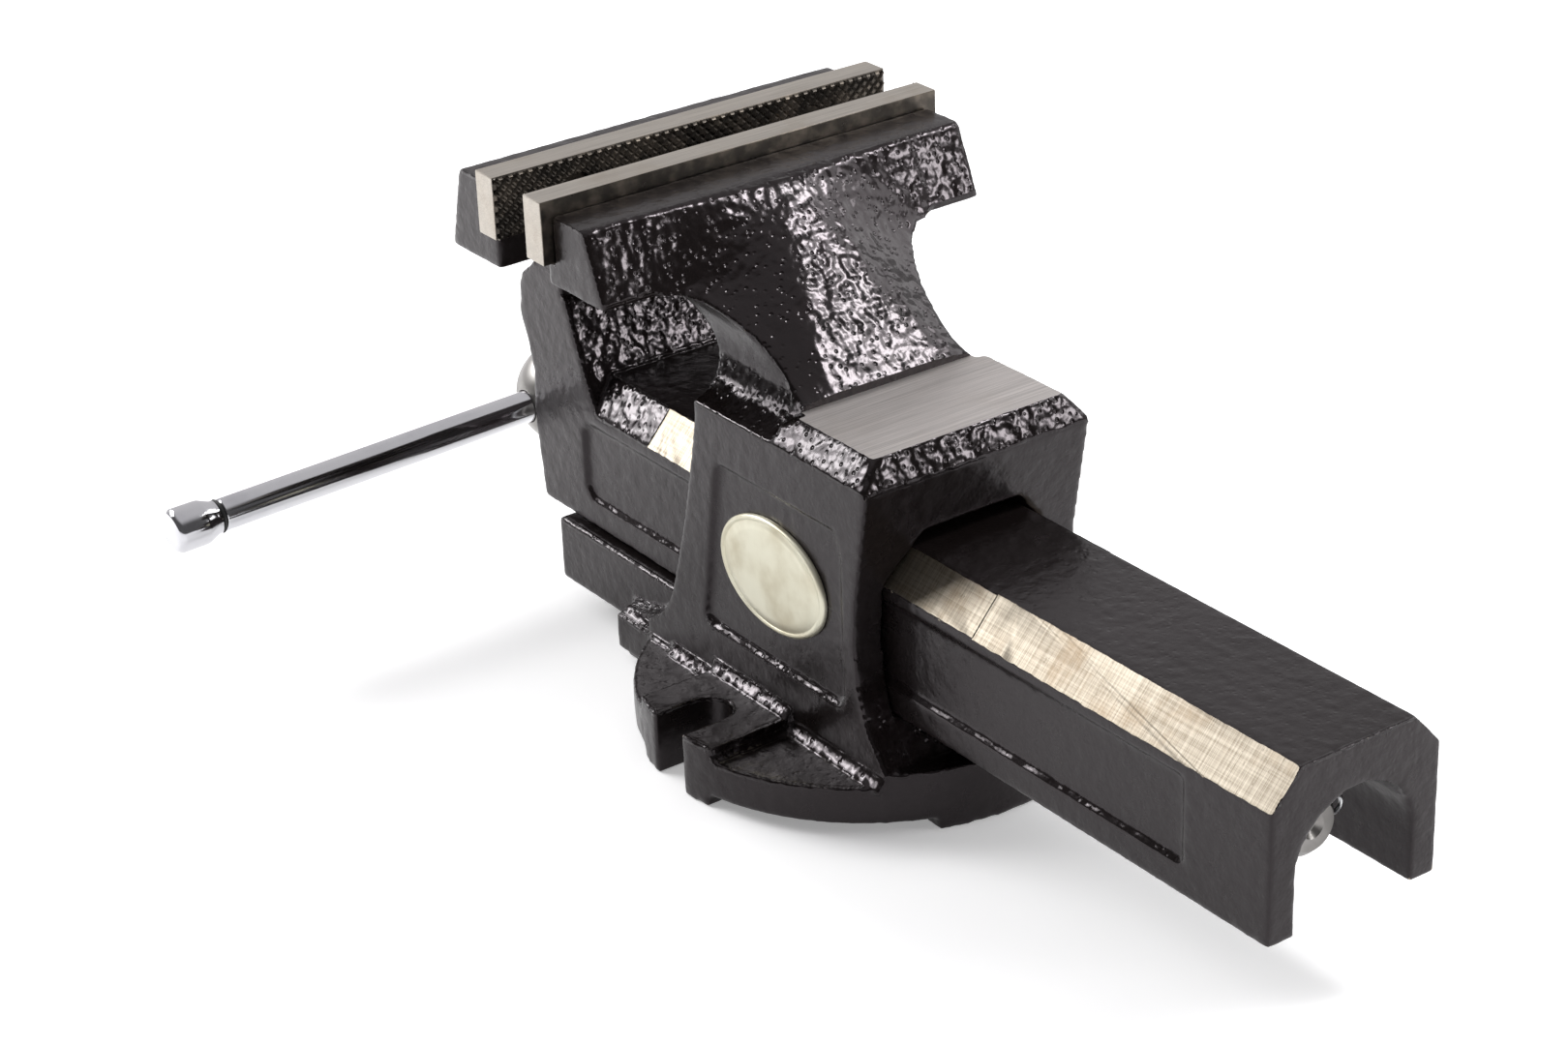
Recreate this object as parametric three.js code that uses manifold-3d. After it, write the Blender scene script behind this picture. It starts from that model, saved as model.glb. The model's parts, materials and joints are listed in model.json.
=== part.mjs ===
// Bench vise: a cast body with a lugged round base, a movable jaw whose open-bottom slide bar
// runs through the body, a lead screw with a ball head, and a loose handle bar through the ball.
// Units are millimetres. X is across the jaws, Y runs along the slide bar (the handle is at -Y,
// the bar's free end at +Y) and Z is up. The origin is on the bench, under the centre of the base.

import * as THREE from "three";
import { mergeVertices } from "three/addons/utils/BufferGeometryUtils.js";
import Module from "manifold-3d";

const wasm = await Module();
wasm.setup();

// ---------------------------------------------------------------- driving dimensions

// jaws
const jawWidth = 200; // length of the hardened jaw plates
const jawTop = 235; // top of the plates above the bench
const jawOpening = 21.7; // gap between the plates as drawn
const fixedFaceY = -91; // gripping face of the fixed plate
const plateHeight = 27.4;
const plateThickness = 13.8;
const plateOverhang = 5; // plates stand out past the castings at each end
const plateStand = 7; // plates stand above the castings
const seatLip = 5.8; // casting under the plate stands this far forward of the plate's back
const fixedHeadDepth = 38; // casting head, from the plates' top down to the throats
const movableHeadDepth = 44;
const headTopDepth = 36.7; // gripping face to the rear edge of the head's top
const fixedHeadFoot = 50; // gripping face to the rear edge of the head's bottom
const movableHeadFoot = 46.3;
const throatRadius = 28; // hollow under each end of a head
const neckWidth = 80.6; // narrowest width of the neck between the throats

// body and base
const anvilHeight = 159.8;
const anvilFront = 21.2; // front edge of the anvil
const anvilRear = 69.9;
const anvilDrop = 10.8; // height of the sloped shoulders around the anvil
const anvilShoulder = 9; // width of the sloped shoulders beside the anvil
const bodyWall = 15.4; // wall on each side of the slide bar
const bodyRear = 75.8;
const bodyFrontTop = -39; // front edge of the body, under the jaw's web
const bodyFrontFoot = -64; // front edge of the body, above the base's front block
const bodyFrontFootHeight = 51;
const bodyWaist = 65; // rear edge of the body at its narrowest
const panelDepth = 2.2; // sunk panels on the sides of both castings
const panelFoot = 47;
const panelMargin = 23; // casting above the body's sunk panel
const baseRadius = 100.5;
const flangeHeight = 22;
const lugHeight = 28;
const lugHalfWidth = 27.5;
const lugCentreY = -5.5;
const footRelief = 5; // the flange stands on pads this high
const lugPadReach = 70; // side pads begin this far from the centre line
const lugPadHalf = 25;
const rearPadHalf = 36;
const rearPadFront = 84;
const rearLugHalf = 53;
const frontBlock = -110; // front of the block under the tongue
const frontBlockHalf = 52;
const frontBlockHeight = 24;
const frontPadDepth = 12;
const cavityHalf = 44; // hollow under the body, with one rib across it
const cavityWall = 9.8;
const ribHalf = 5;
const slotWidth = 20; // open slots for the bench bolts
const slotEnd = 79.5; // centre of the slot's round end
const floorWall = 12; // casting under the slide bar
const rootFillet = 4; // where the body's sides stand on the base
const tongueHalfWidth = 46;
const tongueFront = -170;
const tongueBottom = 13;

// slide bar
const barWidth = 82.2;
const barChamferWidth = 12.7;
const barChamferDrop = 14.3;
const barHeight = 70.8;
const barBottom = 44.6;
const barEnd = 288; // free end of the bar
const channelRadius = 28.8; // open-bottom channel inside the bar
const bossDepth = 84; // gripping face of the movable jaw to the front of its boss
const bossRearTop = 48.3; // gripping face to the rear of the boss, under the head and at the bar
const bossRearFoot = 27.3;
const bossBulge = 5;
const frontWall = 30; // wall that carries the lead screw
const slideGap = 0.8; // clearance between the bar and the body
const barPanelEnd = 46; // plain bar past its sunk side panels
const barPanelFoot = 13;
const topGap = 6.6; // space over the bar in the tunnel

// lead screw
const screwHeight = 70;
const screwRadius = 13;
const ballRadius = 24.5;
const ballReach = 35; // centre of the ball in front of the boss
const flangeStep = 9; // flange stands out past the screw
const flangeThickness = 8;
const washerThickness = 3.4;
const screwEnd = 267;
const collarWall = 6;
const collarLength = 12;
const springLength = 15.4;
const springWire = 1.5; // radius of the wire
const springPlay = 1; // between the spring's coils and the screw
const stopWasherWidth = 4;
const stopWasherThickness = 3;
const pinRadius = 3;
const nutHalfLength = 32;
const nutHalfWidth = 20;
const nutPlay = 3.3; // between the nut's round top and the channel
const nutBoltSpacing = 36;
const nutBoltRadius = 5;
const nutBoltReach = 8.5; // how far the bolts reach into the nut

// handle
const handleRadius = 7.5;
const handleHalf = 174.6; // centre to the shoulder of the bar
const handleSlid = 8; // how far the bar has slid towards +X
const handleTilt = THREE.MathUtils.degToRad(1.8); // the +X end hangs a little lower
const capRadius = 10.3;
const capLength = 22;
const ringWidth = 1.4;

// fasteners and badge
const plateScrewSpacing = 120;
const plateScrewDepth = 16; // below the plates' top
const plateScrewRadius = 4;
const badgeHalfLength = 35.8;
const badgeHalfHeight = 24.8;
const badgeThickness = 2.8;
const badgeY = 10.5;
const badgeZ = 88;

// clearances
const seat = 0.3; // between pieces that touch
const running = 0.4; // around shafts that turn or slide

// ---------------------------------------------------------------- derived levels and places

const halfWidth = jawWidth / 2 - plateOverhang;
const castingTop = jawTop - plateStand;
const shoulderHeight = anvilHeight - anvilDrop;
const barHalf = barWidth / 2;
const barTopHalf = barHalf - barChamferWidth;
const barTop = barBottom + barHeight;
const tunnelFloor = barBottom - 1;
const tunnelTop = barTop + topGap;
const bodyHalf = barHalf + bodyWall;
const movableFaceY = fixedFaceY - jawOpening;
const bossFace = movableFaceY - bossDepth + 2;
const wallInside = bossFace + frontWall;
const ballY = bossFace - ballReach;
const channelCentre = screwHeight - 2;
const flangeRadius = screwRadius + flangeStep;
const collarRadius = screwRadius + collarWall;
const springRadius = screwRadius + springPlay + 2 * springWire;

// ---------------------------------------------------------------- materials

const castPaint = new THREE.MeshStandardMaterial({ color: 0x17171a, roughness: 0.3, metalness: 0 });
const plateSteel = new THREE.MeshStandardMaterial({ color: 0x9a968f, roughness: 0.4, metalness: 1 });
const screwSteel = new THREE.MeshStandardMaterial({ color: 0x8c8c8c, roughness: 0.35, metalness: 1 });
const brightChrome = new THREE.MeshStandardMaterial({ color: 0xc8c9cc, roughness: 0.15, metalness: 1 });
const nutIron = new THREE.MeshStandardMaterial({ color: 0x5a5751, roughness: 0.6, metalness: 1 });
const zincSteel = new THREE.MeshStandardMaterial({ color: 0xa9abad, roughness: 0.35, metalness: 1 });
const blackRubber = new THREE.MeshStandardMaterial({ color: 0x0c0c0c, roughness: 0.7, metalness: 0 });
const badgeBrass = new THREE.MeshStandardMaterial({ color: 0xd8cfa6, roughness: 0.35, metalness: 0.8 });

// ---------------------------------------------------------------- making solids

// Signed volume of an indexed triangle mesh.
function signedVolume(positions, index) {
  const [a, b, c] = [new THREE.Vector3(), new THREE.Vector3(), new THREE.Vector3()];
  let sum = 0;
  for (let i = 0; i < index.length; i += 3) {
    a.fromArray(positions, index[i] * 3);
    b.fromArray(positions, index[i + 1] * 3);
    c.fromArray(positions, index[i + 2] * 3);
    sum += a.dot(b.cross(c)) / 6;
  }
  return sum;
}

// A closed three.js geometry as a solid that can be joined and cut, its faces pointing out.
function solid(geometry) {
  const bare = geometry.clone();
  bare.deleteAttribute("normal");
  bare.deleteAttribute("uv");
  const merged = mergeVertices(bare, 1e-4);
  const vertProperties = new Float32Array(merged.attributes.position.array);
  const triVerts = new Uint32Array(merged.index.array);
  if (signedVolume(vertProperties, triVerts) < 0) {
    for (let i = 0; i < triVerts.length; i += 3) {
      [triVerts[i], triVerts[i + 1]] = [triVerts[i + 1], triVerts[i]];
    }
  }
  return new wasm.Manifold(new wasm.Mesh({ numProp: 3, vertProperties, triVerts }));
}

// A solid back as a named mesh of the scene.
function meshOf(name, body, material) {
  const { vertProperties, triVerts } = body.getMesh();
  const geometry = new THREE.BufferGeometry();
  geometry.setAttribute("position", new THREE.BufferAttribute(vertProperties, 3));
  geometry.setIndex(new THREE.BufferAttribute(triVerts, 1));
  geometry.computeVertexNormals();
  const mesh = new THREE.Mesh(geometry, material);
  mesh.name = name;
  return mesh;
}

function extrude(points, length, curveSegments = 12) {
  const shape = points instanceof THREE.Shape ? points : new THREE.Shape(points);
  return new THREE.ExtrudeGeometry(shape, { depth: length, bevelEnabled: false, curveSegments });
}

const vectors = (pairs) => pairs.map(([u, v]) => new THREE.Vector2(u, v));

// An outline of [y, z] pairs, drawn out along X.
function prismX(pairs, x0, x1) {
  const turn = new THREE.Matrix4().makeBasis(
    new THREE.Vector3(0, 1, 0), new THREE.Vector3(0, 0, 1), new THREE.Vector3(1, 0, 0));
  return solid(extrude(vectors(pairs), x1 - x0).applyMatrix4(turn).translate(x0, 0, 0));
}

// An outline of [x, z] pairs, drawn out along Y.
function prismY(pairs, y0, y1) {
  const turn = new THREE.Matrix4().makeBasis(
    new THREE.Vector3(0, 0, 1), new THREE.Vector3(1, 0, 0), new THREE.Vector3(0, 1, 0));
  const turned = vectors(pairs.map(([x, z]) => [z, x]));
  return solid(extrude(turned, y1 - y0).applyMatrix4(turn).translate(0, y0, 0));
}

// An outline of [x, y] pairs, drawn up along Z.
function prismZ(pairs, z0, z1) {
  return solid(extrude(vectors(pairs), z1 - z0).translate(0, 0, z0));
}

function block(x0, x1, y0, y1, z0, z1) {
  return prismZ([[x0, y0], [x1, y0], [x1, y1], [x0, y1]], z0, z1);
}

// A round solid about the Y axis through (x, z), from [radius, y] pairs that close on the axis.
function turnedY(pairs, x, z, segments = 40) {
  return solid(new THREE.LatheGeometry(vectors(pairs), segments).translate(x, 0, z));
}

function rodY(radius, y0, y1, x, z, segments = 40) {
  return turnedY([[0, y0], [radius, y0], [radius, y1], [0, y1]], x, z, segments);
}

function rodZ(radius, z0, z1, x, y, segments = 32) {
  const rod = new THREE.CylinderGeometry(radius, radius, z1 - z0, segments);
  return solid(rod.rotateX(Math.PI / 2).translate(x, y, (z0 + z1) / 2));
}

function rodX(radius, x0, x1, y, z, segments = 32) {
  const rod = new THREE.CylinderGeometry(radius, radius, x1 - x0, segments);
  return solid(rod.rotateZ(Math.PI / 2).translate((x0 + x1) / 2, y, z));
}

// Points of an arc, angles in degrees from the first axis, ends included.
function arc(cu, cv, radius, from, to, steps) {
  return Array.from({ length: steps + 1 }, (_, i) => {
    const angle = THREE.MathUtils.degToRad(from + ((to - from) * i) / steps);
    return [cu + radius * Math.cos(angle), cv + radius * Math.sin(angle)];
  });
}

const lerp = THREE.MathUtils.lerp;
const joined = (solids) => solids.reduce((all, next) => all.add(next));
const less = (body, cutters) => cutters.reduce((rest, cutter) => rest.subtract(cutter), body);

// Turns [d, z] pairs, d measured back from a gripping face, into [y, z] pairs.
// The fixed jaw lies towards +Y of its face and the movable jaw towards -Y.
const behind = (faceY, way, pairs) => pairs.map(([d, z]) => [faceY + way * d, z]);

// ---------------------------------------------------------------- what both jaws share

// One jaw: its gripping face, the way its casting lies from there (+1 towards +Y), its head, and
// the web behind the head, which ends at a depth (reach) and height (foot) on what it stands on.
const fixedJaw = {
  faceY: fixedFaceY,
  way: 1,
  headBottom: jawTop - fixedHeadDepth,
  headFoot: fixedHeadFoot,
  reach: anvilFront - fixedFaceY - 1,
  foot: anvilHeight,
  footHalf: bodyHalf,
};
const movableJaw = {
  faceY: movableFaceY,
  way: -1,
  headBottom: jawTop - movableHeadDepth,
  headFoot: movableHeadFoot,
  reach: bossDepth,
  foot: shoulderHeight + 2,
  footHalf: barHalf,
};

// Half of the throat outline: the round hollow under the head and the smaller one over the body.
function throatCutter({ headBottom }, y0, y1, side) {
  const neckHalf = neckWidth / 2;
  const waistHeight = headBottom - throatRadius;
  const lower = Math.min(bodyHalf + 3.5 - neckHalf, waistHeight - shoulderHeight);
  const outer = halfWidth + 10;
  const outline = [
    ...arc(neckHalf + throatRadius, waistHeight, throatRadius, 90, 180, 10),
    ...arc(neckHalf + lower, shoulderHeight + lower, lower, 180, 270, 8),
    [outer, shoulderHeight],
    [outer, headBottom],
  ];
  return prismY(outline.map(([x, z]) => [side * x, z]), y0, y1);
}

// The web behind a head: a central ridge that runs down to the foot, hollow to each side.
function neckWeb({ faceY, way, headBottom, headFoot, reach, foot }) {
  const rows = 12;
  const columns = 16;
  const half = neckWidth / 2 + throatRadius;
  const headSlope = (headFoot - headTopDepth) / (castingTop - headBottom);
  const ridgeDepth = (z) => lerp(reach, headTopDepth + 1, (z - foot) / (castingTop - foot));
  const edgeDepth = (z) => {
    if (z > headBottom) return headTopDepth + headSlope * (castingTop - z);
    return lerp(reach - 12, headFoot, (z - foot) / (headBottom - foot));
  };
  const ridgeHalf = (z) => lerp(34, 3, (z - foot) / (castingTop - foot));
  const back = (x, z) => {
    if (z <= foot) return reach;
    const spread = Math.max(Math.abs(x) - ridgeHalf(z), 0) / (half - ridgeHalf(z));
    const hollow = Math.pow(1 - spread, 1.8);
    return lerp(edgeDepth(z), Math.max(ridgeDepth(z), edgeDepth(z)), hollow);
  };
  const levels = Array.from({ length: rows + 1 }, (_, i) => lerp(foot, castingTop - 1, i / rows));
  levels.unshift(shoulderHeight - 6);
  const front = 8;
  const positions = [];
  for (const z of levels) {
    for (let i = 0; i <= columns; i += 1) {
      const x = lerp(-half, half, i / columns);
      positions.push(x, faceY + way * front, z, x, faceY + way * back(x, z), z);
    }
  }
  const index = [];
  const at = (row, column, rear) => (row * (columns + 1) + column) * 2 + rear;
  const quad = (a, b, c, d) => index.push(a, b, c, a, c, d);
  for (let r = 0; r < levels.length - 1; r += 1) {
    for (let i = 0; i < columns; i += 1) {
      quad(at(r, i, 0), at(r, i + 1, 0), at(r + 1, i + 1, 0), at(r + 1, i, 0));
      quad(at(r, i + 1, 1), at(r, i, 1), at(r + 1, i, 1), at(r + 1, i + 1, 1));
    }
    quad(at(r, 0, 1), at(r, 0, 0), at(r + 1, 0, 0), at(r + 1, 0, 1));
    quad(at(r, columns, 0), at(r, columns, 1), at(r + 1, columns, 1), at(r + 1, columns, 0));
  }
  for (let i = 0; i < columns; i += 1) {
    const top = levels.length - 1;
    quad(at(0, i, 1), at(0, i + 1, 1), at(0, i + 1, 0), at(0, i, 0));
    quad(at(top, i, 0), at(top, i + 1, 0), at(top, i + 1, 1), at(top, i, 1));
  }
  const geometry = new THREE.BufferGeometry();
  geometry.setAttribute("position", new THREE.Float32BufferAttribute(positions, 3));
  geometry.setIndex(index);
  return solid(geometry);
}

// Head, neck and throats of one jaw. Below the throats the neck is as wide as what it stands on.
function jawUpper(jaw) {
  const { faceY, way, headBottom, headFoot, reach, footHalf } = jaw;
  const plateBack = plateThickness + seat;
  const plateFoot = jawTop - plateHeight - seat;
  const head = prismX(behind(faceY, way, [
    [plateBack - seatLip, headBottom - 3],
    [plateBack - seatLip, plateFoot],
    [plateBack, plateFoot],
    [plateBack, castingTop],
    [headTopDepth - 1.7, castingTop],
    [headTopDepth, castingTop - 1.2],
    [headFoot, headBottom - 1.4],
    [headFoot - 4, headBottom - 3],
  ]), -halfWidth, halfWidth);
  const curve = new THREE.QuadraticBezierCurve(
    new THREE.Vector2(51, shoulderHeight),
    new THREE.Vector2(47, lerp(shoulderHeight, headBottom, 0.72)),
    new THREE.Vector2(9, headBottom),
  );
  const hollow = prismX(behind(faceY, way, [
    [0, shoulderHeight - 10],
    [51, shoulderHeight - 10],
    ...curve.getPoints(8).map((p) => [p.x, p.y]),
    [0, headBottom],
  ]), -halfWidth - 1, halfWidth + 1);
  const plateSeat = prismX(behind(faceY, way, [
    [-5, plateFoot], [plateBack, plateFoot], [plateBack, jawTop + 5], [-5, jawTop + 5],
  ]), -halfWidth - 1, halfWidth + 1);
  const [near, far] = [faceY - way * 5, faceY + way * (reach + 5)].sort((a, b) => a - b);
  const web = neckWeb(jaw);
  const beside = [-1, 1].map((side) => {
    const [x0, x1] = [side * footHalf, side * (halfWidth + 10)].sort((a, b) => a - b);
    return block(x0, x1, faceY - 300, faceY + 300, 0, headBottom - throatRadius);
  });
  return less(joined([head, web]), [
    hollow, plateSeat, throatCutter(jaw, near, far, 1), throatCutter(jaw, near, far, -1), ...beside,
  ]);
}

// Threaded holes for the screws of a jaw plate.
function plateScrewHoles(faceY, way) {
  const z = jawTop - plateScrewDepth;
  const [y0, y1] = [faceY + way * 5, faceY + way * (plateThickness + 18)].sort((a, b) => a - b);
  return [-1, 1].map((side) => (
    rodY(plateScrewRadius + seat, y0, y1, (side * plateScrewSpacing) / 2, z, 20)));
}

// ---------------------------------------------------------------- fixed jaw and body

// The tunnel follows the slide bar's section, with more room over its top.
function tunnel() {
  const half = barHalf + slideGap;
  const chamferFoot = barTop - barChamferDrop + 0.5;
  const topHalf = half - ((tunnelTop - chamferFoot) * barChamferWidth) / barChamferDrop;
  return prismY([
    [half, tunnelFloor], [half, chamferFoot], [topHalf, tunnelTop],
    [-topHalf, tunnelTop], [-half, chamferFoot], [-half, tunnelFloor],
  ], -150, 130);
}

// One sunk panel on the side of the body, wider at its foot.
function bodyPanel(side) {
  const [front, frontSlant, rear] = [bodyFrontTop + 12, bodyFrontTop, bodyWaist - 7];
  const top = shoulderHeight - panelMargin;
  const outline = [
    [front, top - 4], [frontSlant, panelFoot + 3], [frontSlant + 4, panelFoot], [rear - 4, panelFoot],
    [rear, panelFoot + 4], [rear, top - 8], [rear - 4, top], [front + 4, top],
  ];
  const [x0, x1] = [bodyHalf - panelDepth, bodyHalf + 2].map((x) => side * x).sort((a, b) => a - b);
  return prismX(outline, x0, x1);
}

function baseSlot(side) {
  const half = slotWidth / 2;
  const outer = baseRadius + 6;
  const outline = [
    [outer, lugCentreY - half],
    [outer, lugCentreY + half],
    ...arc(slotEnd, lugCentreY, half, 90, 270, 10),
  ];
  return prismZ(outline.map(([x, y]) => [side * x, y]), -1, lugHeight + 10);
}

// Points along a Bezier curve from its 3 or 4 control points, without its ends.
function bend(...points) {
  const corners = vectors(points);
  const kind = points.length === 3 ? THREE.QuadraticBezierCurve : THREE.CubicBezierCurve;
  return new kind(...corners).getPoints(5).slice(1, -1).map((p) => [p.x, p.y]);
}

// The body seen from the side: toe, front edge, ground anvil and hollow rear edge.
function bodyOutline() {
  const toe = [frontBlock, frontBlockHeight];
  const foot = [bodyFrontFoot, bodyFrontFootHeight];
  const brow = [bodyFrontTop, shoulderHeight];
  const rearTop = [bodyWaist + 5, barTop];
  const heel = [rearPadFront, lugHeight];
  return [
    [frontBlock, footRelief], toe, ...bend(toe, [bodyFrontFoot - 10, frontBlockHeight + 3], foot), foot,
    ...bend(foot, [bodyFrontTop - 8, (bodyFrontFootHeight + shoulderHeight) / 2], brow), brow,
    [anvilFront - 8, shoulderHeight], [anvilFront - 8, anvilHeight - 4], [anvilFront, anvilHeight],
    [anvilRear, anvilHeight], [bodyRear, shoulderHeight - 2],
    rearTop, ...bend(rearTop, [bodyWaist - 1, barTop - 27], [bodyWaist - 5, barBottom + 5], heel),
    heel, [rearPadFront, footRelief],
  ];
}

// Round base with side lugs, a rear lug and the pads it stands on.
function base() {
  const raised = rodZ(baseRadius, footRelief, lugHeight, 0, 0, 72);
  const [lugFront, lugRear] = [lugCentreY - lugHalfWidth, lugCentreY + lugHalfWidth];
  const [padFront, padRear] = [lugCentreY - lugPadHalf, lugCentreY + lugPadHalf];
  const padTop = footRelief + 1;
  return joined([
    rodZ(baseRadius, footRelief, flangeHeight, 0, 0, 72),
    block(-baseRadius, baseRadius, lugFront, lugRear, footRelief, lugHeight).intersect(raised),
    block(-rearLugHalf, rearLugHalf, anvilRear, baseRadius + 1, footRelief, lugHeight).intersect(raised),
    joined([
      block(-baseRadius, -lugPadReach, padFront, padRear, 0, padTop),
      block(lugPadReach, baseRadius, padFront, padRear, 0, padTop),
      block(-rearPadHalf, rearPadHalf, rearPadFront, baseRadius, 0, padTop),
    ]).intersect(rodZ(baseRadius, 0, lugHeight, 0, 0, 72)),
    block(-frontBlockHalf, frontBlockHalf, frontBlock, bodyFrontFoot, 0, flangeHeight + 1),
  ]);
}

// Fillets along the foot of the body's sides, one run on the flange and one over the lugs.
function rootFillets() {
  const runs = [
    [flangeHeight, bodyFrontFoot, rearPadFront],
    [lugHeight, lugCentreY - lugHalfWidth, lugCentreY + lugHalfWidth],
  ];
  return [-1, 1].flatMap((side) => runs.map(([level, y0, y1]) => prismY([
    [side * (bodyHalf - 2), level - 2],
    [side * (bodyHalf + rootFillet), level - 2],
    [side * (bodyHalf + rootFillet), level],
    [side * bodyHalf, level + rootFillet],
    [side * (bodyHalf - 2), level + rootFillet],
  ], y0, y1)));
}

function fixedBody() {
  const tongueTop = tunnelFloor - 0.6;
  const tongue = block(
    -tongueHalfWidth, tongueHalfWidth, tongueFront, bodyFrontFoot, tongueBottom, tongueTop);
  const body = prismX(bodyOutline(), -bodyHalf, bodyHalf);
  const shoulders = [-1, 1].map((side) => prismY([
    [side * (bodyHalf - anvilShoulder), anvilHeight + 0.01],
    [side * (bodyHalf + 1), anvilHeight + 0.01],
    [side * (bodyHalf + 1), shoulderHeight - 1.2],
    [side * bodyHalf, shoulderHeight],
  ], anvilFront - 20, bodyRear + 1));
  const besideToe = [-1, 1].map((side) => {
    const [x0, x1] = [side * frontBlockHalf, side * (bodyHalf + 5)].sort((a, b) => a - b);
    return block(x0, x1, frontBlock - 1, bodyFrontFoot - 20, flangeHeight, bodyFrontFootHeight);
  });
  const ceiling = tunnelFloor - floorWall;
  const cavityRear = rearPadFront - cavityWall - 8;
  const cavity = block(-cavityHalf, cavityHalf, bodyFrontFoot - 16, cavityRear, -1, ceiling);
  const rib = block(-cavityHalf, cavityHalf, -ribHalf, ribHalf, 0, ceiling + 1);
  const relief = joined([
    block(-baseRadius, baseRadius, frontBlock + frontPadDepth, bodyFrontFoot, -1, footRelief),
    ...[-1, 1].map((side) => {
      const [x0, x1] = [side * frontBlockHalf, side * baseRadius].sort((a, b) => a - b);
      return block(x0, x1, frontBlock - 1, bodyFrontFoot, -1, footRelief);
    }),
  ]);
  const bolts = [-1, 1].map((end) => (
    rodZ(nutBoltRadius + running, 20, tunnelFloor + 1, 0, (end * nutBoltSpacing) / 2, 24)));
  const casting = joined([base(), ...rootFillets(), tongue, body, jawUpper(fixedJaw)]);
  return less(casting, [
    ...shoulders, ...besideToe, tunnel(), cavity, baseSlot(1), baseSlot(-1), bodyPanel(1),
    bodyPanel(-1), ...bolts, ...plateScrewHoles(fixedFaceY, 1), relief,
  ]).add(rib);
}

// ---------------------------------------------------------------- movable jaw and slide bar

function movableCasting() {
  const bar = prismY([
    [-barHalf, barBottom], [-barHalf, barTop - barChamferDrop], [-barTopHalf, barTop],
    [barTopHalf, barTop], [barHalf, barTop - barChamferDrop], [barHalf, barBottom],
  ], bossFace + 8, barEnd);
  const front = bossFace;
  const heel = [movableFaceY - bossRearFoot, barTop - barChamferDrop];
  const nape = [movableFaceY - bossRearTop, shoulderHeight + 1];
  const boss = prismX([
    nape, ...bend(nape, [movableFaceY - bossRearFoot - 9, barTop + 2], heel), heel,
    [heel[0], barBottom], [front + 11, barBottom], [front + 6, barBottom + 1.6],
    [front + 2, screwHeight + 8], [front + 3, barTop - 8], [front, barTop + 4],
    [front - bossBulge, barTop + 16], [front - 3.5, shoulderHeight - 2], [front - 1, shoulderHeight + 2],
  ], -barHalf, barHalf);
  const face = rodY(flangeRadius + 3, front, front + 12, 0, screwHeight);
  const channel = prismY([
    [-channelRadius, barBottom - 1],
    ...arc(0, channelCentre, channelRadius, 180, 0, 18),
    [channelRadius, barBottom - 1],
  ], wallInside, barEnd + 1);
  const bore = rodY(screwRadius + running, front - 10, wallInside + 5, 0, screwHeight);
  const panels = [-1, 1].map((side) => {
    const [x0, x1] = [barHalf - panelDepth, barHalf + 2].map((x) => side * x).sort((a, b) => a - b);
    const [y0, y1] = [bossFace + bossDepth / 2, barEnd - barPanelEnd];
    const [z0, z1] = [barBottom + barPanelFoot, barTop - barChamferDrop - 6];
    return prismX([[y0 + 5, z0], [y1, z0], [y1, z1], [y0 + 5, z1], [y0, z1 - 5], [y0, z0 + 5]], x0, x1);
  });
  return less(joined([bar, boss, face, jawUpper(movableJaw)]), [
    channel, bore, ...panels, ...plateScrewHoles(movableFaceY, -1),
  ]);
}

// ---------------------------------------------------------------- jaw plates and their screws

function jawPlate(faceY, way) {
  const edge = 0.8;
  const [y0, y1] = [faceY, faceY + way * plateThickness].sort((a, b) => a - b);
  const [z0, z1] = [jawTop - plateHeight, jawTop];
  const bar = prismX([
    [y0 + edge, z0], [y1 - edge, z0], [y1, z0 + edge], [y1, z1 - edge],
    [y1 - edge, z1], [y0 + edge, z1], [y0, z1 - edge], [y0, z0 + edge],
  ], -jawWidth / 2, jawWidth / 2);
  const z = jawTop - plateScrewDepth;
  const holes = [-1, 1].map((side) => {
    const profile = [[0, -1], [8.6, -1], [8.6, 1.2], [4.5, 5.3], [4.5, 20], [0, 20]];
    return turnedY(profile.map(([r, d]) => [r, faceY + way * d]), (side * plateScrewSpacing) / 2, z, 24);
  });
  return less(bar, holes);
}

function plateScrew(faceY, way, side) {
  const tip = plateThickness + 15;
  const profile = [
    [0, 1.2], [8.2, 1.2], [plateScrewRadius, 5.4], [plateScrewRadius, tip], [0, tip],
  ];
  const x = (side * plateScrewSpacing) / 2;
  const z = jawTop - plateScrewDepth;
  const [y0, y1] = [faceY + way * 0.5, faceY + way * 4.2].sort((a, b) => a - b);
  const socket = rodY(2.9, y0, y1, x, z, 6);
  return turnedY(profile.map(([r, d]) => [r, faceY + way * d]), x, z, 24).subtract(socket);
}

// ---------------------------------------------------------------- lead screw and what is on it

function washer(inner, outer, y0, y1) {
  const profile = [[inner, y0], [outer, y0], [outer, y1], [inner, y1], [inner, y0]];
  return turnedY(profile, 0, screwHeight, 32);
}

function stopWasher() {
  const outer = screwRadius + stopWasherWidth;
  return washer(screwRadius + seat, outer, stopWasherY, stopWasherY + stopWasherThickness);
}

const flangeY = bossFace - washerThickness - 2 * seat;
const collarY = wallInside + 2 + springLength + 3 * seat;
const pinY = collarY + collarLength / 2;
const stopWasherY = screwEnd - 14;
const splitPinY = screwEnd - 7;

function thrustWasher() {
  return washer(screwRadius + running, flangeRadius + 1, flangeY + seat, bossFace - seat);
}

function springWasher() {
  const front = wallInside + seat;
  return washer(screwRadius + running, collarRadius, front, front + 2);
}

function collarPin() {
  const half = collarRadius - 1;
  return rodZ(pinRadius, screwHeight - half, screwHeight + half, 0, pinY, 16);
}

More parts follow.
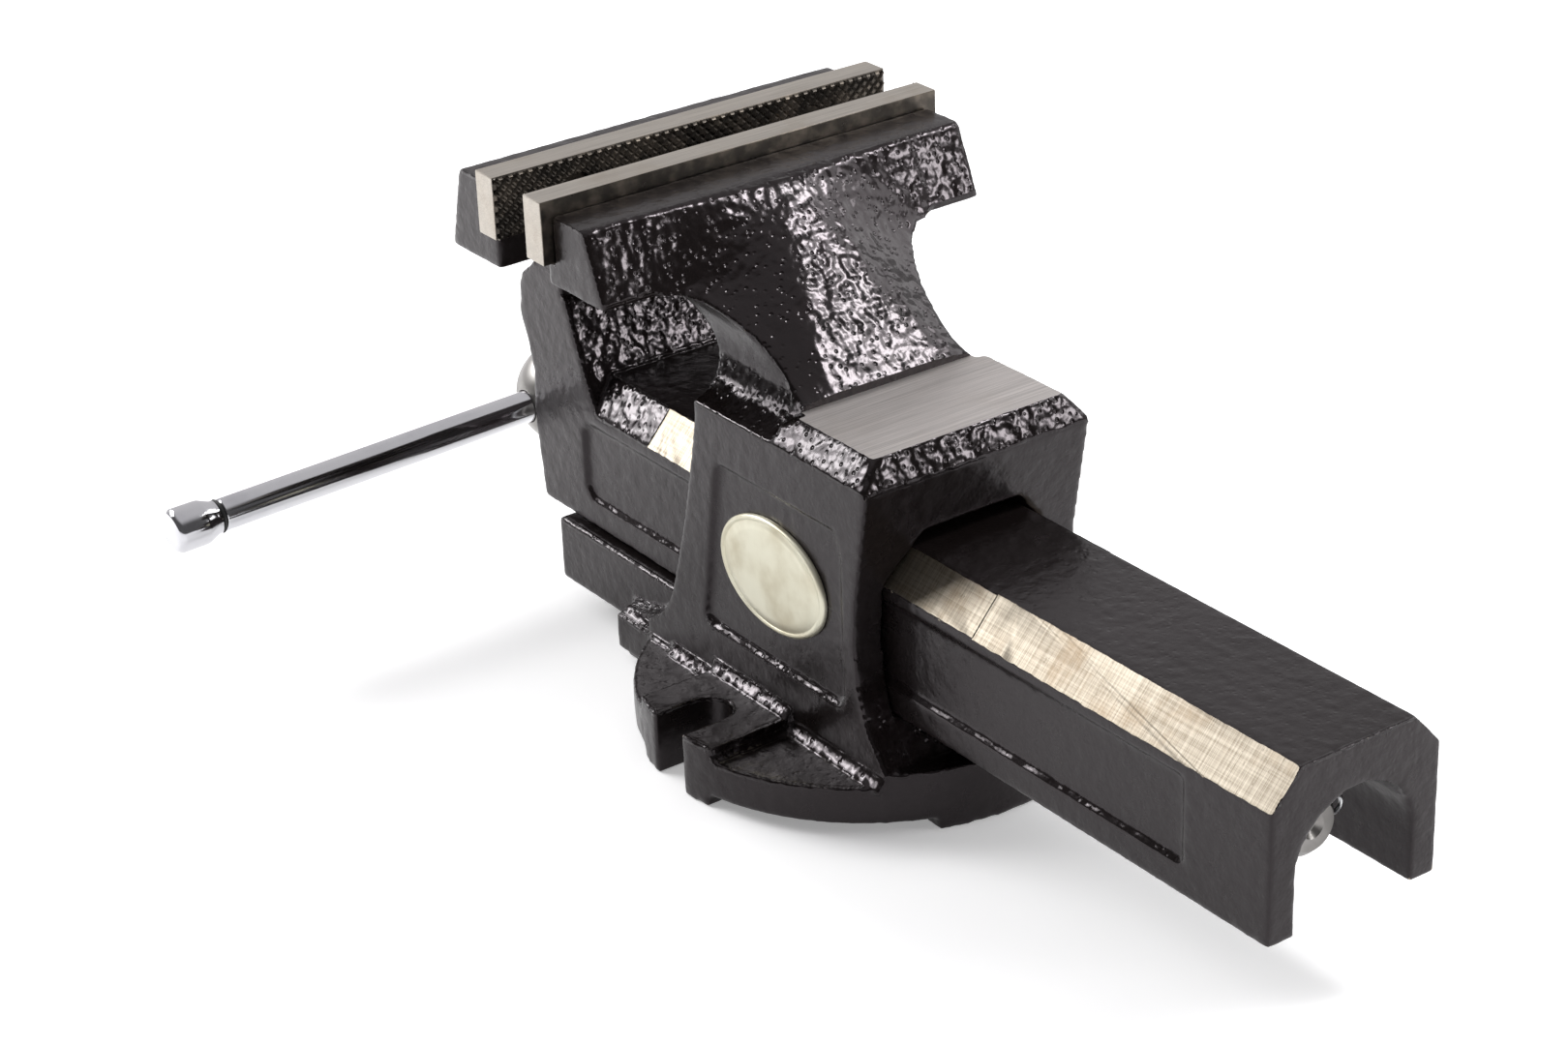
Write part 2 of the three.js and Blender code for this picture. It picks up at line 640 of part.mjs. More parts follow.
// A rod across the screw, along the handle's axis direction.
function acrossBall(radius, half) {
  const rod = new THREE.CylinderGeometry(radius, radius, 2 * half, 32).rotateZ(Math.PI / 2);
  return solid(rod.rotateY(handleTilt).translate(0, ballY, screwHeight));
}

function leadScrew() {
  const neckRadius = 15;
  const joint = Math.asin(neckRadius / ballRadius);
  const ball = arc(0, ballY, ballRadius, -90, THREE.MathUtils.radToDeg(Math.PI / 2 - joint), 14);
  ball[0][0] = 0;
  const turned = turnedY([
    ...ball,
    [neckRadius, flangeY - flangeThickness],
    [flangeRadius - 1, flangeY - flangeThickness],
    [flangeRadius, flangeY - flangeThickness + 1],
    [flangeRadius, flangeY],
    [screwRadius, flangeY],
    [screwRadius, screwEnd - 3],
    [screwRadius - 3, screwEnd],
    [0, screwEnd],
  ], 0, screwHeight);
  return less(turned, [
    acrossBall(handleRadius + running, ballRadius + 5),
    rodZ(pinRadius + seat, 0, 2 * screwHeight, 0, pinY, 16),
    rodX(2.6, -40, 40, splitPinY, screwHeight, 16),
  ]);
}

function collar() {
  const ring = washer(screwRadius + seat, collarRadius, collarY, collarY + collarLength);
  return ring.subtract(rodZ(pinRadius + seat, 0, 2 * screwHeight, 0, pinY, 16));
}

class Helix extends THREE.Curve {
  constructor(radius, length, turns) {
    super();
    Object.assign(this, { radius, length, turns });
  }

  getPoint(t, target = new THREE.Vector3()) {
    const angle = 2 * Math.PI * this.turns * t;
    return target.set(this.radius * Math.cos(angle), this.length * t, this.radius * Math.sin(angle));
  }
}

function round(radius, sides) {
  return new THREE.Shape(vectors(arc(0, 0, radius, 0, 360, sides).slice(0, sides)));
}

function spring() {
  const turns = 4;
  const path = new Helix(springRadius - springWire, springLength - 2 * springWire, turns);
  const wire = new THREE.ExtrudeGeometry(round(springWire, 6), {
    steps: turns * 16, extrudePath: path, bevelEnabled: false,
  });
  return solid(wire.translate(0, wallInside + 2 + 2 * seat + springWire, screwHeight));
}

// Split pin: a loop on the -X side and two legs through the screw.
function splitPin() {
  const leg = 1.15;
  const far = screwRadius + 6;
  const eye = -screwRadius - 4;
  const loop = arc(eye, 0, 3.4, 60, 300, 8);
  const points = [[far, leg], [0, leg], [eye + 4, leg], ...loop, [eye + 4, -leg], [0, -leg], [far - 3, -leg]];
  const places = points.map(([x, z]) => new THREE.Vector3(x, 0, z));
  const path = new THREE.CatmullRomCurve3(places, false, "centripetal");
  const wire = new THREE.ExtrudeGeometry(round(0.95, 6), {
    steps: 40, extrudePath: path, bevelEnabled: false,
  });
  return solid(wire.translate(0, splitPinY, screwHeight));
}

// The nut fills the channel under a round top. Two tapped holes take the bolts from below.
function nut() {
  const top = channelCentre + channelRadius;
  const blank = block(
    -nutHalfWidth, nutHalfWidth, -nutHalfLength, nutHalfLength, tunnelFloor + seat, top);
  const round = rodY(channelRadius - nutPlay, -nutHalfLength, nutHalfLength, 0, channelCentre, 60);
  const foot = block(
    -nutHalfWidth, nutHalfWidth, -nutHalfLength, nutHalfLength, tunnelFloor + seat, channelCentre);
  const taps = [-1, 1].map((end) => (
    rodZ(nutBoltRadius + seat, 40, tunnelFloor + nutBoltReach + 1, 0, (end * nutBoltSpacing) / 2, 24)));
  const bore = rodY(screwRadius + running, -nutHalfLength - 1, nutHalfLength + 1, 0, screwHeight);
  return less(blank.intersect(round.add(foot)), [bore, ...taps]);
}

const boltWasherTop = tunnelFloor - floorWall - seat;

function nutBolt(end) {
  const y = (end * nutBoltSpacing) / 2;
  const headTop = boltWasherTop - 2 - seat;
  const head = rodZ(9.2, headTop - 6.4, headTop, 0, y, 6);
  return head.add(rodZ(nutBoltRadius, headTop - 1, tunnelFloor + nutBoltReach, 0, y, 24));
}

function nutBoltWasher(end) {
  const y = (end * nutBoltSpacing) / 2;
  const ring = rodZ(10.5, boltWasherTop - 2, boltWasherTop, 0, y, 24);
  return ring.subtract(rodZ(nutBoltRadius + 0.4, 0, 60, 0, y, 24));
}

// ---------------------------------------------------------------- handle

// A round solid about the handle's own axis, from [radius, along] pairs.
function turnedHandle(pairs, segments = 32) {
  const lathe = new THREE.LatheGeometry(vectors(pairs), segments).rotateZ(-Math.PI / 2);
  return solid(lathe.translate(handleSlid, 0, 0).rotateY(handleTilt).translate(0, ballY, screwHeight));
}

const spigotRadius = 4.5;
const spigotLength = 15;
const capStart = handleHalf + ringWidth + 2 * seat;
const capEnd = capStart + capLength;

function handleBar() {
  const end = handleHalf + spigotLength;
  return turnedHandle([
    [0, -end], [spigotRadius, -end], [spigotRadius, -handleHalf], [handleRadius - 0.5, -handleHalf],
    [handleRadius, 0.5 - handleHalf], [handleRadius, handleHalf - 0.5], [handleRadius - 0.5, handleHalf],
    [spigotRadius, handleHalf], [spigotRadius, end], [0, end],
  ]);
}

function handleCap(side) {
  const bore = spigotRadius + seat;
  const boreEnd = handleHalf + spigotLength + 1;
  return turnedHandle([
    [0, boreEnd], [bore, boreEnd], [bore, capStart], [handleRadius + 0.3, capStart],
    [handleRadius + 0.3, capStart + 1.6], [capRadius, capStart + 7.4], [capRadius, capEnd - 1.7],
    [capRadius - 1.4, capEnd], [0, capEnd],
  ].map(([r, s]) => [r, side * s]));
}

function handleRing(side) {
  const [s0, s1] = [handleHalf + seat, handleHalf + seat + ringWidth];
  const outer = handleRadius + 0.3;
  const inner = spigotRadius + seat;
  return turnedHandle([[inner, s0], [outer, s0], [outer, s1], [inner, s1], [inner, s0]]
    .map(([r, s]) => [r, side * s]));
}

// ---------------------------------------------------------------- badge

// Oval plate with a bevelled rim and a low dome, seated in the sunk panel on the +X side.
function badge() {
  const profile = [[0, 0], [1, 0], [1, 0.45], [0.93, 0.72], [0.6, 0.93], [0, 1]];
  const lens = new THREE.LatheGeometry(vectors(profile.map(([r, t]) => [r, t * badgeThickness])), 48);
  lens.scale(badgeHalfLength, 1, badgeHalfHeight).rotateZ(-Math.PI / 2);
  return solid(lens.translate(bodyHalf - panelDepth + seat, badgeY, badgeZ));
}

// ---------------------------------------------------------------- assembly

const vise = new THREE.Group();
const place = (name, body, material) => vise.add(meshOf(name, body, material));

place("fixed_jaw_body", fixedBody(), castPaint);
place("movable_jaw_slide", movableCasting(), castPaint);

for (const [jaw, { faceY, way }] of Object.entries({ fixed: fixedJaw, movable: movableJaw })) {
  place(`jaw_plate_${jaw}`, jawPlate(faceY, way), plateSteel);
  for (const [end, side] of [["right", -1], ["left", 1]]) {
    place(`jaw_plate_screw_${jaw}_${end}`, plateScrew(faceY, way, side), zincSteel);
  }
}

place("lead_screw", leadScrew(), screwSteel);
place("thrust_washer", thrustWasher(), zincSteel);
place("spring_washer", springWasher(), zincSteel);
place("take_up_spring", spring(), zincSteel);
place("screw_collar", collar(), nutIron);
place("collar_pin", collarPin(), zincSteel);
place("screw_nut", nut(), nutIron);
for (const [end, sign] of [["front", -1], ["rear", 1]]) {
  place(`nut_bolt_${end}`, nutBolt(sign), zincSteel);
  place(`nut_bolt_washer_${end}`, nutBoltWasher(sign), zincSteel);
}
place("stop_washer", stopWasher(), zincSteel);
place("split_pin", splitPin(), zincSteel);

place("handle_bar", handleBar(), brightChrome);
for (const [end, side] of [["right", -1], ["left", 1]]) {
  place(`handle_cap_${end}`, handleCap(side), brightChrome);
  place(`handle_ring_${end}`, handleRing(side), blackRubber);
}

place("badge_plate", badge(), badgeBrass);

export default vise;
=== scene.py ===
# %% [markdown]
# # A bench vise
#
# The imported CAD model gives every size, place and joint. This script gives the vise its skin: cast
# corners, ground faces, knurling, a cut thread, and a finish for every piece. Lengths are in
# metres. X runs across the jaws, Y along the slide bar (the handle is at -Y) and Z is up.

# %% Load the frame
import json
import math

import bpy
import numpy as np
from mathutils import Matrix, Vector


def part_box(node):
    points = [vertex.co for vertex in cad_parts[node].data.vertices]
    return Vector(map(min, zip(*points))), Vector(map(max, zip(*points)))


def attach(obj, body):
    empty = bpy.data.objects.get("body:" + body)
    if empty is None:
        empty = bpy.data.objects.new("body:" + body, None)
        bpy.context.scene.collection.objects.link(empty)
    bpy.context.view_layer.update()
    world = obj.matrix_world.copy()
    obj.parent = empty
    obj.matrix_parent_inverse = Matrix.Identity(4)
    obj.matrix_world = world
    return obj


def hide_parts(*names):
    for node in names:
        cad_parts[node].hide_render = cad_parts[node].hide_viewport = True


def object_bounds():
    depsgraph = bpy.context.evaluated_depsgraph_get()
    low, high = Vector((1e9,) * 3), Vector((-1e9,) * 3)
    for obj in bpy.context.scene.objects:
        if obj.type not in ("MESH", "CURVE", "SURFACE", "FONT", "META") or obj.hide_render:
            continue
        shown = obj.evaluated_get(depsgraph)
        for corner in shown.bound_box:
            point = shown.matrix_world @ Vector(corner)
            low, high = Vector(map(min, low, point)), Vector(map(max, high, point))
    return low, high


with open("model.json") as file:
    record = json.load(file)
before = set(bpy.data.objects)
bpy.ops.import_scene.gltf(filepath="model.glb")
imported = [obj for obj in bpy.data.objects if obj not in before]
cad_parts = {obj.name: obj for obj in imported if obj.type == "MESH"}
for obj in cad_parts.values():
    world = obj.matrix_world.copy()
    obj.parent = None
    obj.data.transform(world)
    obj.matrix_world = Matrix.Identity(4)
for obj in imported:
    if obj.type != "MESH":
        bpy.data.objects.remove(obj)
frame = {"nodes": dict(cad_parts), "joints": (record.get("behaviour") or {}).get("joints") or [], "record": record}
cad_low, cad_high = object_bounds()
MM = 0.001
print("CAD box in mm:", [round(v / MM, 1) for v in (*cad_low, *cad_high)])


def mount(name):
    """Where the record says that a mount is."""
    return Vector(next(m["pos_m"] for m in frame["record"]["mounts"] if m["name"] == name))


# %% [markdown]
# ## Camera and light
#
# A catalogue picture of a tool is taken from a few steps away with a long lens, so that its edges
# stay nearly parallel. The camera stands behind the vise, to the badge side, and looks down on it.
# It is turned by its three directions, written as the columns of a matrix, because a camera looks
# along its own -Z.

# %% The camera
CAMERA_PLACE = Vector((0.7744, 1.0501, 0.7461))
AZIMUTH, ELEVATION, ROLL = math.radians(145.09), math.radians(26.64), math.radians(-2.29)


def studio_camera():
    right = Vector((math.cos(AZIMUTH), math.sin(AZIMUTH), 0))
    back = Vector((
        math.sin(AZIMUTH) * math.cos(ELEVATION),
        -math.cos(AZIMUTH) * math.cos(ELEVATION),
        math.sin(ELEVATION),
    ))
    up = back.cross(right)
    rolled_right = math.cos(ROLL) * right + math.sin(ROLL) * up
    rolled_up = math.cos(ROLL) * up - math.sin(ROLL) * right
    bpy.ops.object.camera_add()
    camera = bpy.context.object
    camera.name = "studio_camera"
    turn = Matrix((rolled_right, rolled_up, back)).transposed().to_4x4()
    camera.matrix_world = Matrix.Translation(CAMERA_PLACE) @ turn
    camera.data.lens = 80.9
    camera.data.clip_end = 20
    bpy.context.scene.camera = camera
    return camera


camera = studio_camera()
print("camera stands at", [round(v, 3) for v in camera.location])


# %% [markdown]
# Gloss paint shows what it mirrors. Upright walls of the casting mirror the white floor and turn
# charcoal. Sloping faces mirror the soft boxes, and most of these come in pairs: a small bright key
# in front of a wide dim glow, so that a highlight has a hard heart and a soft rim. The room is dark
# behind the camera and lighter beyond the vise and overhead, which keeps level faces a soft black.

# %% Soft boxes and surround
AIM = Vector((0, 0.02, 0.12))
AWAY_FROM_CAMERA = (-0.77, -0.64, 0)


def soft_box(name, azimuth, elevation, size, brightness, distance=2.0):
    """An area light that faces the vise, from an azimuth (0 is +X, 90 is +Y) and an elevation."""
    azimuth, elevation = math.radians(azimuth), math.radians(elevation)
    level = math.cos(elevation)
    away = Vector((math.cos(azimuth) * level, math.sin(azimuth) * level, math.sin(elevation)))
    bpy.ops.object.light_add(type="AREA", location=AIM + away * distance)
    lamp = bpy.context.object
    lamp.name = name
    lamp.rotation_euler = away.to_track_quat("Z", "Y").to_euler()
    lamp.data.shape = "RECTANGLE"
    lamp.data.size, lamp.data.size_y = size
    lamp.data.energy = math.pi * size[0] * size[1] * brightness


def surround(near, far, ceiling):
    """A plain room: how bright it is near the camera, far beyond the vise, and overhead."""
    world = bpy.data.worlds.new("studio")
    world.use_nodes = True
    tree = world.node_tree
    background = tree.nodes["Background"]
    background.inputs["Color"].default_value = (1.0, 0.985, 1.0, 1)
    direction = tree.nodes.new("ShaderNodeTexCoord").outputs["Generated"]
    beyond = tree.nodes.new("ShaderNodeVectorMath")
    beyond.operation = "DOT_PRODUCT"
    beyond.inputs[1].default_value = AWAY_FROM_CAMERA
    split = tree.nodes.new("ShaderNodeSeparateXYZ")
    tree.links.new(direction, beyond.inputs[0])
    tree.links.new(direction, split.inputs[0])

    def rise(source, start, end, low, high):
        made = tree.nodes.new("ShaderNodeMapRange")
        made.interpolation_type = "SMOOTHSTEP"
        tree.links.new(source, made.inputs["Value"])
        limits = {"From Min": start, "From Max": end, "To Min": low, "To Max": high}
        for socket, value in limits.items():
            made.inputs[socket].default_value = value
        return made.outputs[0]

    walls = rise(beyond.outputs["Value"], -0.25, 0.5, near, far)
    overhead = rise(split.outputs["Z"], 0.62, 0.95, 0, 1)
    room = tree.nodes.new("ShaderNodeMix")
    tree.links.new(overhead, room.inputs["Factor"])
    tree.links.new(walls, room.inputs["A"])
    room.inputs["B"].default_value = ceiling
    tree.links.new(room.outputs["Result"], background.inputs["Strength"])
    bpy.context.scene.world = world


soft_box("key_right", 150, 51, (0.3, 0.28), 34.0)
soft_box("glow_right", 150, 49, (0.75, 0.62), 6.5, 2.1)
soft_box("low_right", 131, 16, (0.3, 0.3), 16.0)
soft_box("low_glow", 130, 16, (0.6, 0.5), 5.0, 2.1)
soft_box("fill_right", 168, 29, (1.9, 1.3), 2.2, 2.5)
soft_box("key_left", -62, 29, (0.7, 0.3), 16.0)
soft_box("glow_left", -64, 29, (1.5, 0.8), 7.5, 2.1)
surround(0.12, 0.75, 0.7)
bpy.context.scene.view_settings.view_transform = "Standard"


# %% [markdown]
# ## Tools for the bench
#
# Every operator acts on what is selected, so each step starts by choosing one piece and nothing
# else. These few helpers keep the steps short: choose a piece, work on it in edit mode, pick faces
# by a test on their centre and normal, and apply a modifier as soon as it is set.

# %% Choosing and shaping
def only(piece):
    bpy.ops.object.select_all(action="DESELECT")
    piece.select_set(True)
    bpy.context.view_layer.objects.active = piece


def fixed(piece, kind, **settings):
    """Adds a modifier to a piece and applies it."""
    only(piece)
    modifier = piece.modifiers.new(kind.lower(), kind)
    for setting, value in settings.items():
        setattr(modifier, setting, value)
    bpy.ops.object.modifier_apply(modifier=modifier.name)


def pick_faces(piece, test):
    """Selects the faces for which test(centre, normal) holds. The piece is left in edit mode."""
    only(piece)
    bpy.ops.object.mode_set(mode="EDIT")
    bpy.ops.mesh.select_mode(type="FACE")
    bpy.ops.mesh.select_all(action="DESELECT")
    bpy.ops.object.mode_set(mode="OBJECT")
    for face in piece.data.polygons:
        face.select = bool(test(face.center, face.normal))
    bpy.ops.object.mode_set(mode="EDIT")


def settle(piece):
    """Puts a piece's place into its mesh, merges doubles and turns all faces outwards."""
    only(piece)
    bpy.ops.object.transform_apply(location=True, rotation=True, scale=True)
    bpy.ops.object.mode_set(mode="EDIT")
    bpy.ops.mesh.select_all(action="SELECT")
    bpy.ops.mesh.remove_doubles(threshold=1e-6)
    bpy.ops.mesh.normals_make_consistent(inside=False)
    bpy.ops.object.mode_set(mode="OBJECT")
    return piece


def cut(piece, *cutters):
    """Takes the cutters' space out of a piece, then clears the cutters away."""
    for cutter in cutters:
        fixed(piece, "BOOLEAN", operation="DIFFERENCE", object=cutter, solver="MANIFOLD")
        bpy.data.objects.remove(cutter)
    return piece


def smooth_to(piece, angle):
    """Shades a piece smooth, but keeps edges that turn by more than an angle in degrees."""
    only(piece)
    bpy.ops.object.shade_smooth_by_angle(angle=math.radians(angle))


def block(name, low, high):
    """A plain block between two corners, used as stock or as a cutter."""
    low, high = Vector(low), Vector(high)
    bpy.ops.object.select_all(action="DESELECT")
    bpy.ops.mesh.primitive_cube_add(size=1, location=(low + high) / 2, scale=high - low)
    piece = bpy.context.object
    piece.name = name
    return settle(piece)


def turned(name, stations, sides=96):
    """A lathe piece along Z, through (height, radius) stations, from a disc extruded up."""
    height, radius = stations[0]
    bpy.ops.object.select_all(action="DESELECT")
    bpy.ops.mesh.primitive_circle_add(
        vertices=sides, radius=radius, fill_type="NGON", location=(0, 0, height))
    piece = bpy.context.object
    piece.name = name
    bpy.ops.object.transform_apply(location=True)
    bpy.ops.object.mode_set(mode="EDIT")
    for (z0, r0), (z1, r1) in zip(stations, stations[1:]):
        bpy.ops.mesh.extrude_region_move(TRANSFORM_OT_translate={"value": (0, 0, z1 - z0)})
        ratio = r1 / r0
        bpy.ops.transform.resize(value=(ratio, ratio, 1), center_override=(0, 0, z1))
    bpy.ops.object.mode_set(mode="OBJECT")
    return settle(piece)


def placed(piece, turn, place):
    """Turns a piece about the origin, moves it, and writes both into its mesh."""
    piece.rotation_euler = turn
    piece.location = place
    return settle(piece)


def stands_for(piece, body, slot, finish, *nodes):
    """A finished piece: it rides on a body, takes a finish and hides the CAD nodes it replaces."""
    piece.data.materials.clear()
    piece.data.materials.append(finish)
    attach(piece, body)
    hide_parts(*nodes)
    print(f"{piece.name}: {len(piece.data.polygons)} faces")


# %% [markdown]
# ## Writing shaders as sums
#
# A finish is a small formula over the surface: how rough, how bumpy, how dark it is at each point.
# The class below holds a socket and turns + - * < > into Math nodes, so a formula reads as one.
# `Finish` starts a material and adds any other node by its type, settings and socket values.

# %% Shader helpers
class Value:
    """A shader value, usable in sums. Each operator adds one Math node."""

    def __init__(self, finish, socket):
        self.finish = finish
        self.socket = socket

    def math(self, operation, *others):
        sockets = {i: other for i, other in enumerate((self, *others))}
        return self.finish.node("ShaderNodeMath", {"operation": operation}, sockets)

    def swapped(self, operation, first):
        return self.finish.node("ShaderNodeMath", {"operation": operation}, {0: first, 1: self})

    def __add__(self, other):
        return self.math("ADD", other)

    __radd__ = __add__

    def __sub__(self, other):
        return self.math("SUBTRACT", other)

    def __rsub__(self, other):
        return self.swapped("SUBTRACT", other)

    def __mul__(self, other):
        return self.math("MULTIPLY", other)

    __rmul__ = __mul__

    def __gt__(self, other):
        return self.math("GREATER_THAN", other)

    def __lt__(self, other):
        return self.math("LESS_THAN", other)

    def size(self):
        return self.math("ABSOLUTE")

    def ramp(self, low, high, to_low=0.0, to_high=1.0):
        """Runs smoothly from to_low to to_high as the value goes from low to high."""
        return self.finish.node(
            "ShaderNodeMapRange", {"interpolation_type": "SMOOTHSTEP"},
            {"Value": self, "From Min": low, "From Max": high, "To Min": to_low, "To Max": to_high})


class Finish:
    """A material, built node by node. Constants are set on the shader's own sockets."""

    def __init__(self, name, **constants):
        self.material = bpy.data.materials.new(name)
        self.material.use_nodes = True
        self.tree = self.material.node_tree
        self.shader = self.tree.nodes["Principled BSDF"]
        self.set(**constants)
        self.places = self.tree.nodes.new("ShaderNodeTexCoord").outputs
        split = self.tree.nodes.new("ShaderNodeSeparateXYZ")
        self.tree.links.new(self.places["Object"], split.inputs[0])
        self.x, self.y, self.z = (Value(self, socket) for socket in split.outputs)
        facing = self.tree.nodes.new("ShaderNodeSeparateXYZ")
        self.tree.links.new(self.places["Normal"], facing.inputs[0])
        self.facing_z = Value(self, facing.outputs["Z"])

    def feed(self, socket, value):
        if isinstance(value, Value):
            self.tree.links.new(value.socket, socket)
        else:
            socket.default_value = value

    def node(self, kind, settings, sockets, output=0):
        """Adds a node: settings first, then its sockets, by name or by number."""
        made = self.tree.nodes.new(kind)
        for setting, value in settings.items():
            setattr(made, setting, value)
        for socket, value in sockets.items():
            self.feed(made.inputs[socket], value)
        return Value(self, made.outputs[output])

    def stretched(self, scale):
        """Object coordinates, scaled along each axis."""
        return self.node("ShaderNodeMapping", {}, {
            "Vector": Value(self, self.places["Object"]), "Scale": scale})

    def noise(self, scale, detail, stretch=(1, 1, 1), roughness=0.5):
        return self.node("ShaderNodeTexNoise", {}, {
            "Vector": self.stretched(stretch), "Scale": scale, "Detail": detail,
            "Roughness": roughness})

    def blend(self, mask, first, second):
        """A colour that goes from first to second as the mask goes from 0 to 1."""
        return self.node("ShaderNodeMix", {"data_type": "RGBA"}, {
            "Factor": mask, 6: first, 7: second}, output=2)

    def bump(self, height, distance, strength=1.0, under=None):
        sockets = {"Height": height, "Distance": distance, "Strength": strength}
        if under is not None:
            sockets["Normal"] = under
        return self.node("ShaderNodeBump", {}, sockets)

    def set(self, **values):
        for socket, value in values.items():
            self.feed(self.shader.inputs[socket.replace("_", " ")], value)
        return self.material


# %% [markdown]
# ## Paint over a rough casting
#
# Sand moulds leave a pitted skin. Thick gloss paint flows over it: it rounds the large waves,
# leaves a small crater over each pit, and dries with a fine orange peel. Craters and waves are
# deepest on faces that slope, while upright walls and the sides of the bar are nearly smooth. So
# craters and waves make one bump, whose depth follows the way a face looks, and the peel makes a
# finer one over it. Corners that have been knocked show bare iron through the paint: the mesh
# carries an attribute, edge_wear, that says how sharp each convex corner is.

# %% The paint
BAR_SIDE_INNER, BAR_SIDE_OUTER, BAR_SIDE_TOP = 36 * MM, 42.5 * MM, 100 * MM


def black_paint():
    paint = Finish(
        "thick_black_paint", IOR=1.5, Specular_IOR_Level=0.33, Specular_Tint=(1.0, 0.9, 0.95, 1))
    slope = paint.facing_z.ramp(0.08, 0.38) * (1 - paint.facing_z.ramp(0.93, 0.995) * 0.85)
    patch = paint.noise(26, 2).ramp(0.35, 0.65)
    cells = paint.node("ShaderNodeTexVoronoi", {"feature": "F1"}, {
        "Vector": paint.stretched((1, 1, 1)), "Scale": 290, "Randomness": 0.9})
    craters = cells.ramp(0.02, 0.36)
    waves = paint.noise(240, 0.4)
    off_centre = paint.x.size()
    beside_bar = (off_centre > BAR_SIDE_INNER) * (off_centre < BAR_SIDE_OUTER)
    bar_side = beside_bar * (paint.z < BAR_SIDE_TOP)
    depth = slope * (0.45 + patch * 0.55) * (1 - bar_side * 0.85) + 0.12
    skin = (craters * 0.32 + waves * 0.72) * depth
    peel = paint.noise(430, 1.0) * (1 - slope * 0.45)
    fine = paint.bump(peel, 0.00011, under=paint.bump(skin, 0.00105))
    worn = paint.node("ShaderNodeAttribute", {"attribute_name": "edge_wear"}, {}, output=2)
    chipped = (worn * (0.2 + paint.noise(140, 4) * 1.2)).ramp(0.84, 0.92)
    shade = paint.noise(9, 4).ramp(0.3, 0.7)
    colour = paint.blend(shade, (0.0050, 0.0036, 0.0032, 1), (0.0095, 0.0072, 0.0072, 1))
    colour = paint.blend(chipped, colour, (0.36, 0.3, 0.23, 1))
    rough = 0.25 - slope * 0.13 + paint.noise(90, 3) * 0.06 + chipped * 0.25
    return paint.set(Base_Color=colour, Roughness=rough, Normal=fine)


# %% [markdown]
# Machined faces are bare grey iron. A grinder leaves fine parallel scratches, so the noise is
# squeezed across the cut and drawn out along it, and a touch of brown shows where oil has stained.

# %% Ground and machined metal
def ground_steel(name, grain, colour, rough, stain, contrast):
    """Bare metal with scratches. The grain says how tight the scratches are along X, Y and Z."""
    metal = Finish(name, Metallic=1.0)
    scratches = metal.noise(1, 4, stretch=grain, roughness=0.7)
    bands = metal.noise(1, 3, stretch=[g * 0.2 for g in grain])
    cloud = metal.noise(42, 5, roughness=0.6)
    bright = (*[c * (1 + contrast * 0.5) for c in colour], 1)
    dark = (*[c * (1 - contrast) for c in colour], 1)
    oiled = (colour[0] * 0.55, colour[1] * 0.45, colour[2] * 0.32, 1)
    tone = metal.blend(scratches.ramp(0.3, 0.7) * 0.75 + bands.ramp(0.3, 0.7) * 0.25, dark, bright)
    tone = metal.blend(cloud.ramp(0.5, 0.78) * stain, tone, oiled)
    roughness = rough + bands * 0.08 - scratches * 0.06
    return metal.set(
        Base_Color=tone, Roughness=roughness, Normal=metal.bump(scratches, 0.00006, 0.8))


def milled_iron():
    """Iron with a cutter's marks across the bar, drag marks along it, and oil that has browned."""
    iron = Finish("milled_ways", Metallic=1.0)
    across = iron.noise(1, 4, stretch=(18, 1700, 18), roughness=0.7)
    along = iron.noise(1, 4, stretch=(900, 14, 900), roughness=0.7)
    cloud = iron.noise(38, 5, roughness=0.65)
    flecks = iron.noise(260, 4, stretch=(1, 2.5, 1), roughness=0.7)
    marks = across.ramp(0.3, 0.7) * 0.6 + along.ramp(0.3, 0.7) * 0.4
    tone = iron.blend(marks, (0.14, 0.115, 0.085, 1), (0.42, 0.38, 0.315, 1))
    tone = iron.blend(cloud.ramp(0.45, 0.72) * 0.75, tone, (0.22, 0.165, 0.11, 1))
    tone = iron.blend(flecks.ramp(0.62, 0.7) * 0.6, tone, (0.09, 0.07, 0.05, 1))
    height = across * 0.7 + along * 0.5
    return iron.set(
        Base_Color=tone, Roughness=0.4 + cloud * 0.12, Normal=iron.bump(height, 0.00005, 0.8))


paint = black_paint()
anvil_metal = ground_steel("ground_anvil", (25, 2600, 2600), (0.60, 0.565, 0.545), 0.47, 0.1, 0.3)
way_metal = milled_iron()
print("finishes so far:", paint.name, anvil_metal.name, way_metal.name)

# %% [markdown]
# ## The two castings
#
# A casting has no sharp corner: the mould rounds every edge and fills every hollow. Bevels on each
# edge would be endless work on a shape like the neck, so the whole skin is rebuilt instead. A
# merged copy of the CAD mesh is remeshed into even small faces, a Smooth modifier melts its corners
# the way sand does, and a faint cloud texture pushes the skin in and out. Only then are the
# machined faces cut, so that they stay flat with crisp borders, as on the real one.

# %% A cast skin
VOXEL = 1.2 * MM
ROUNDING = 9
SKIN_TRIANGLES = 150000
SAND_GRAIN, SAND_DEPTH = 5 * MM, 0.45 * MM
BLUNT_BEND, SHARP_BEND = 150.0, 420.0
CASTING_CREASE = 32
ON_PLANE = 0.02 * MM


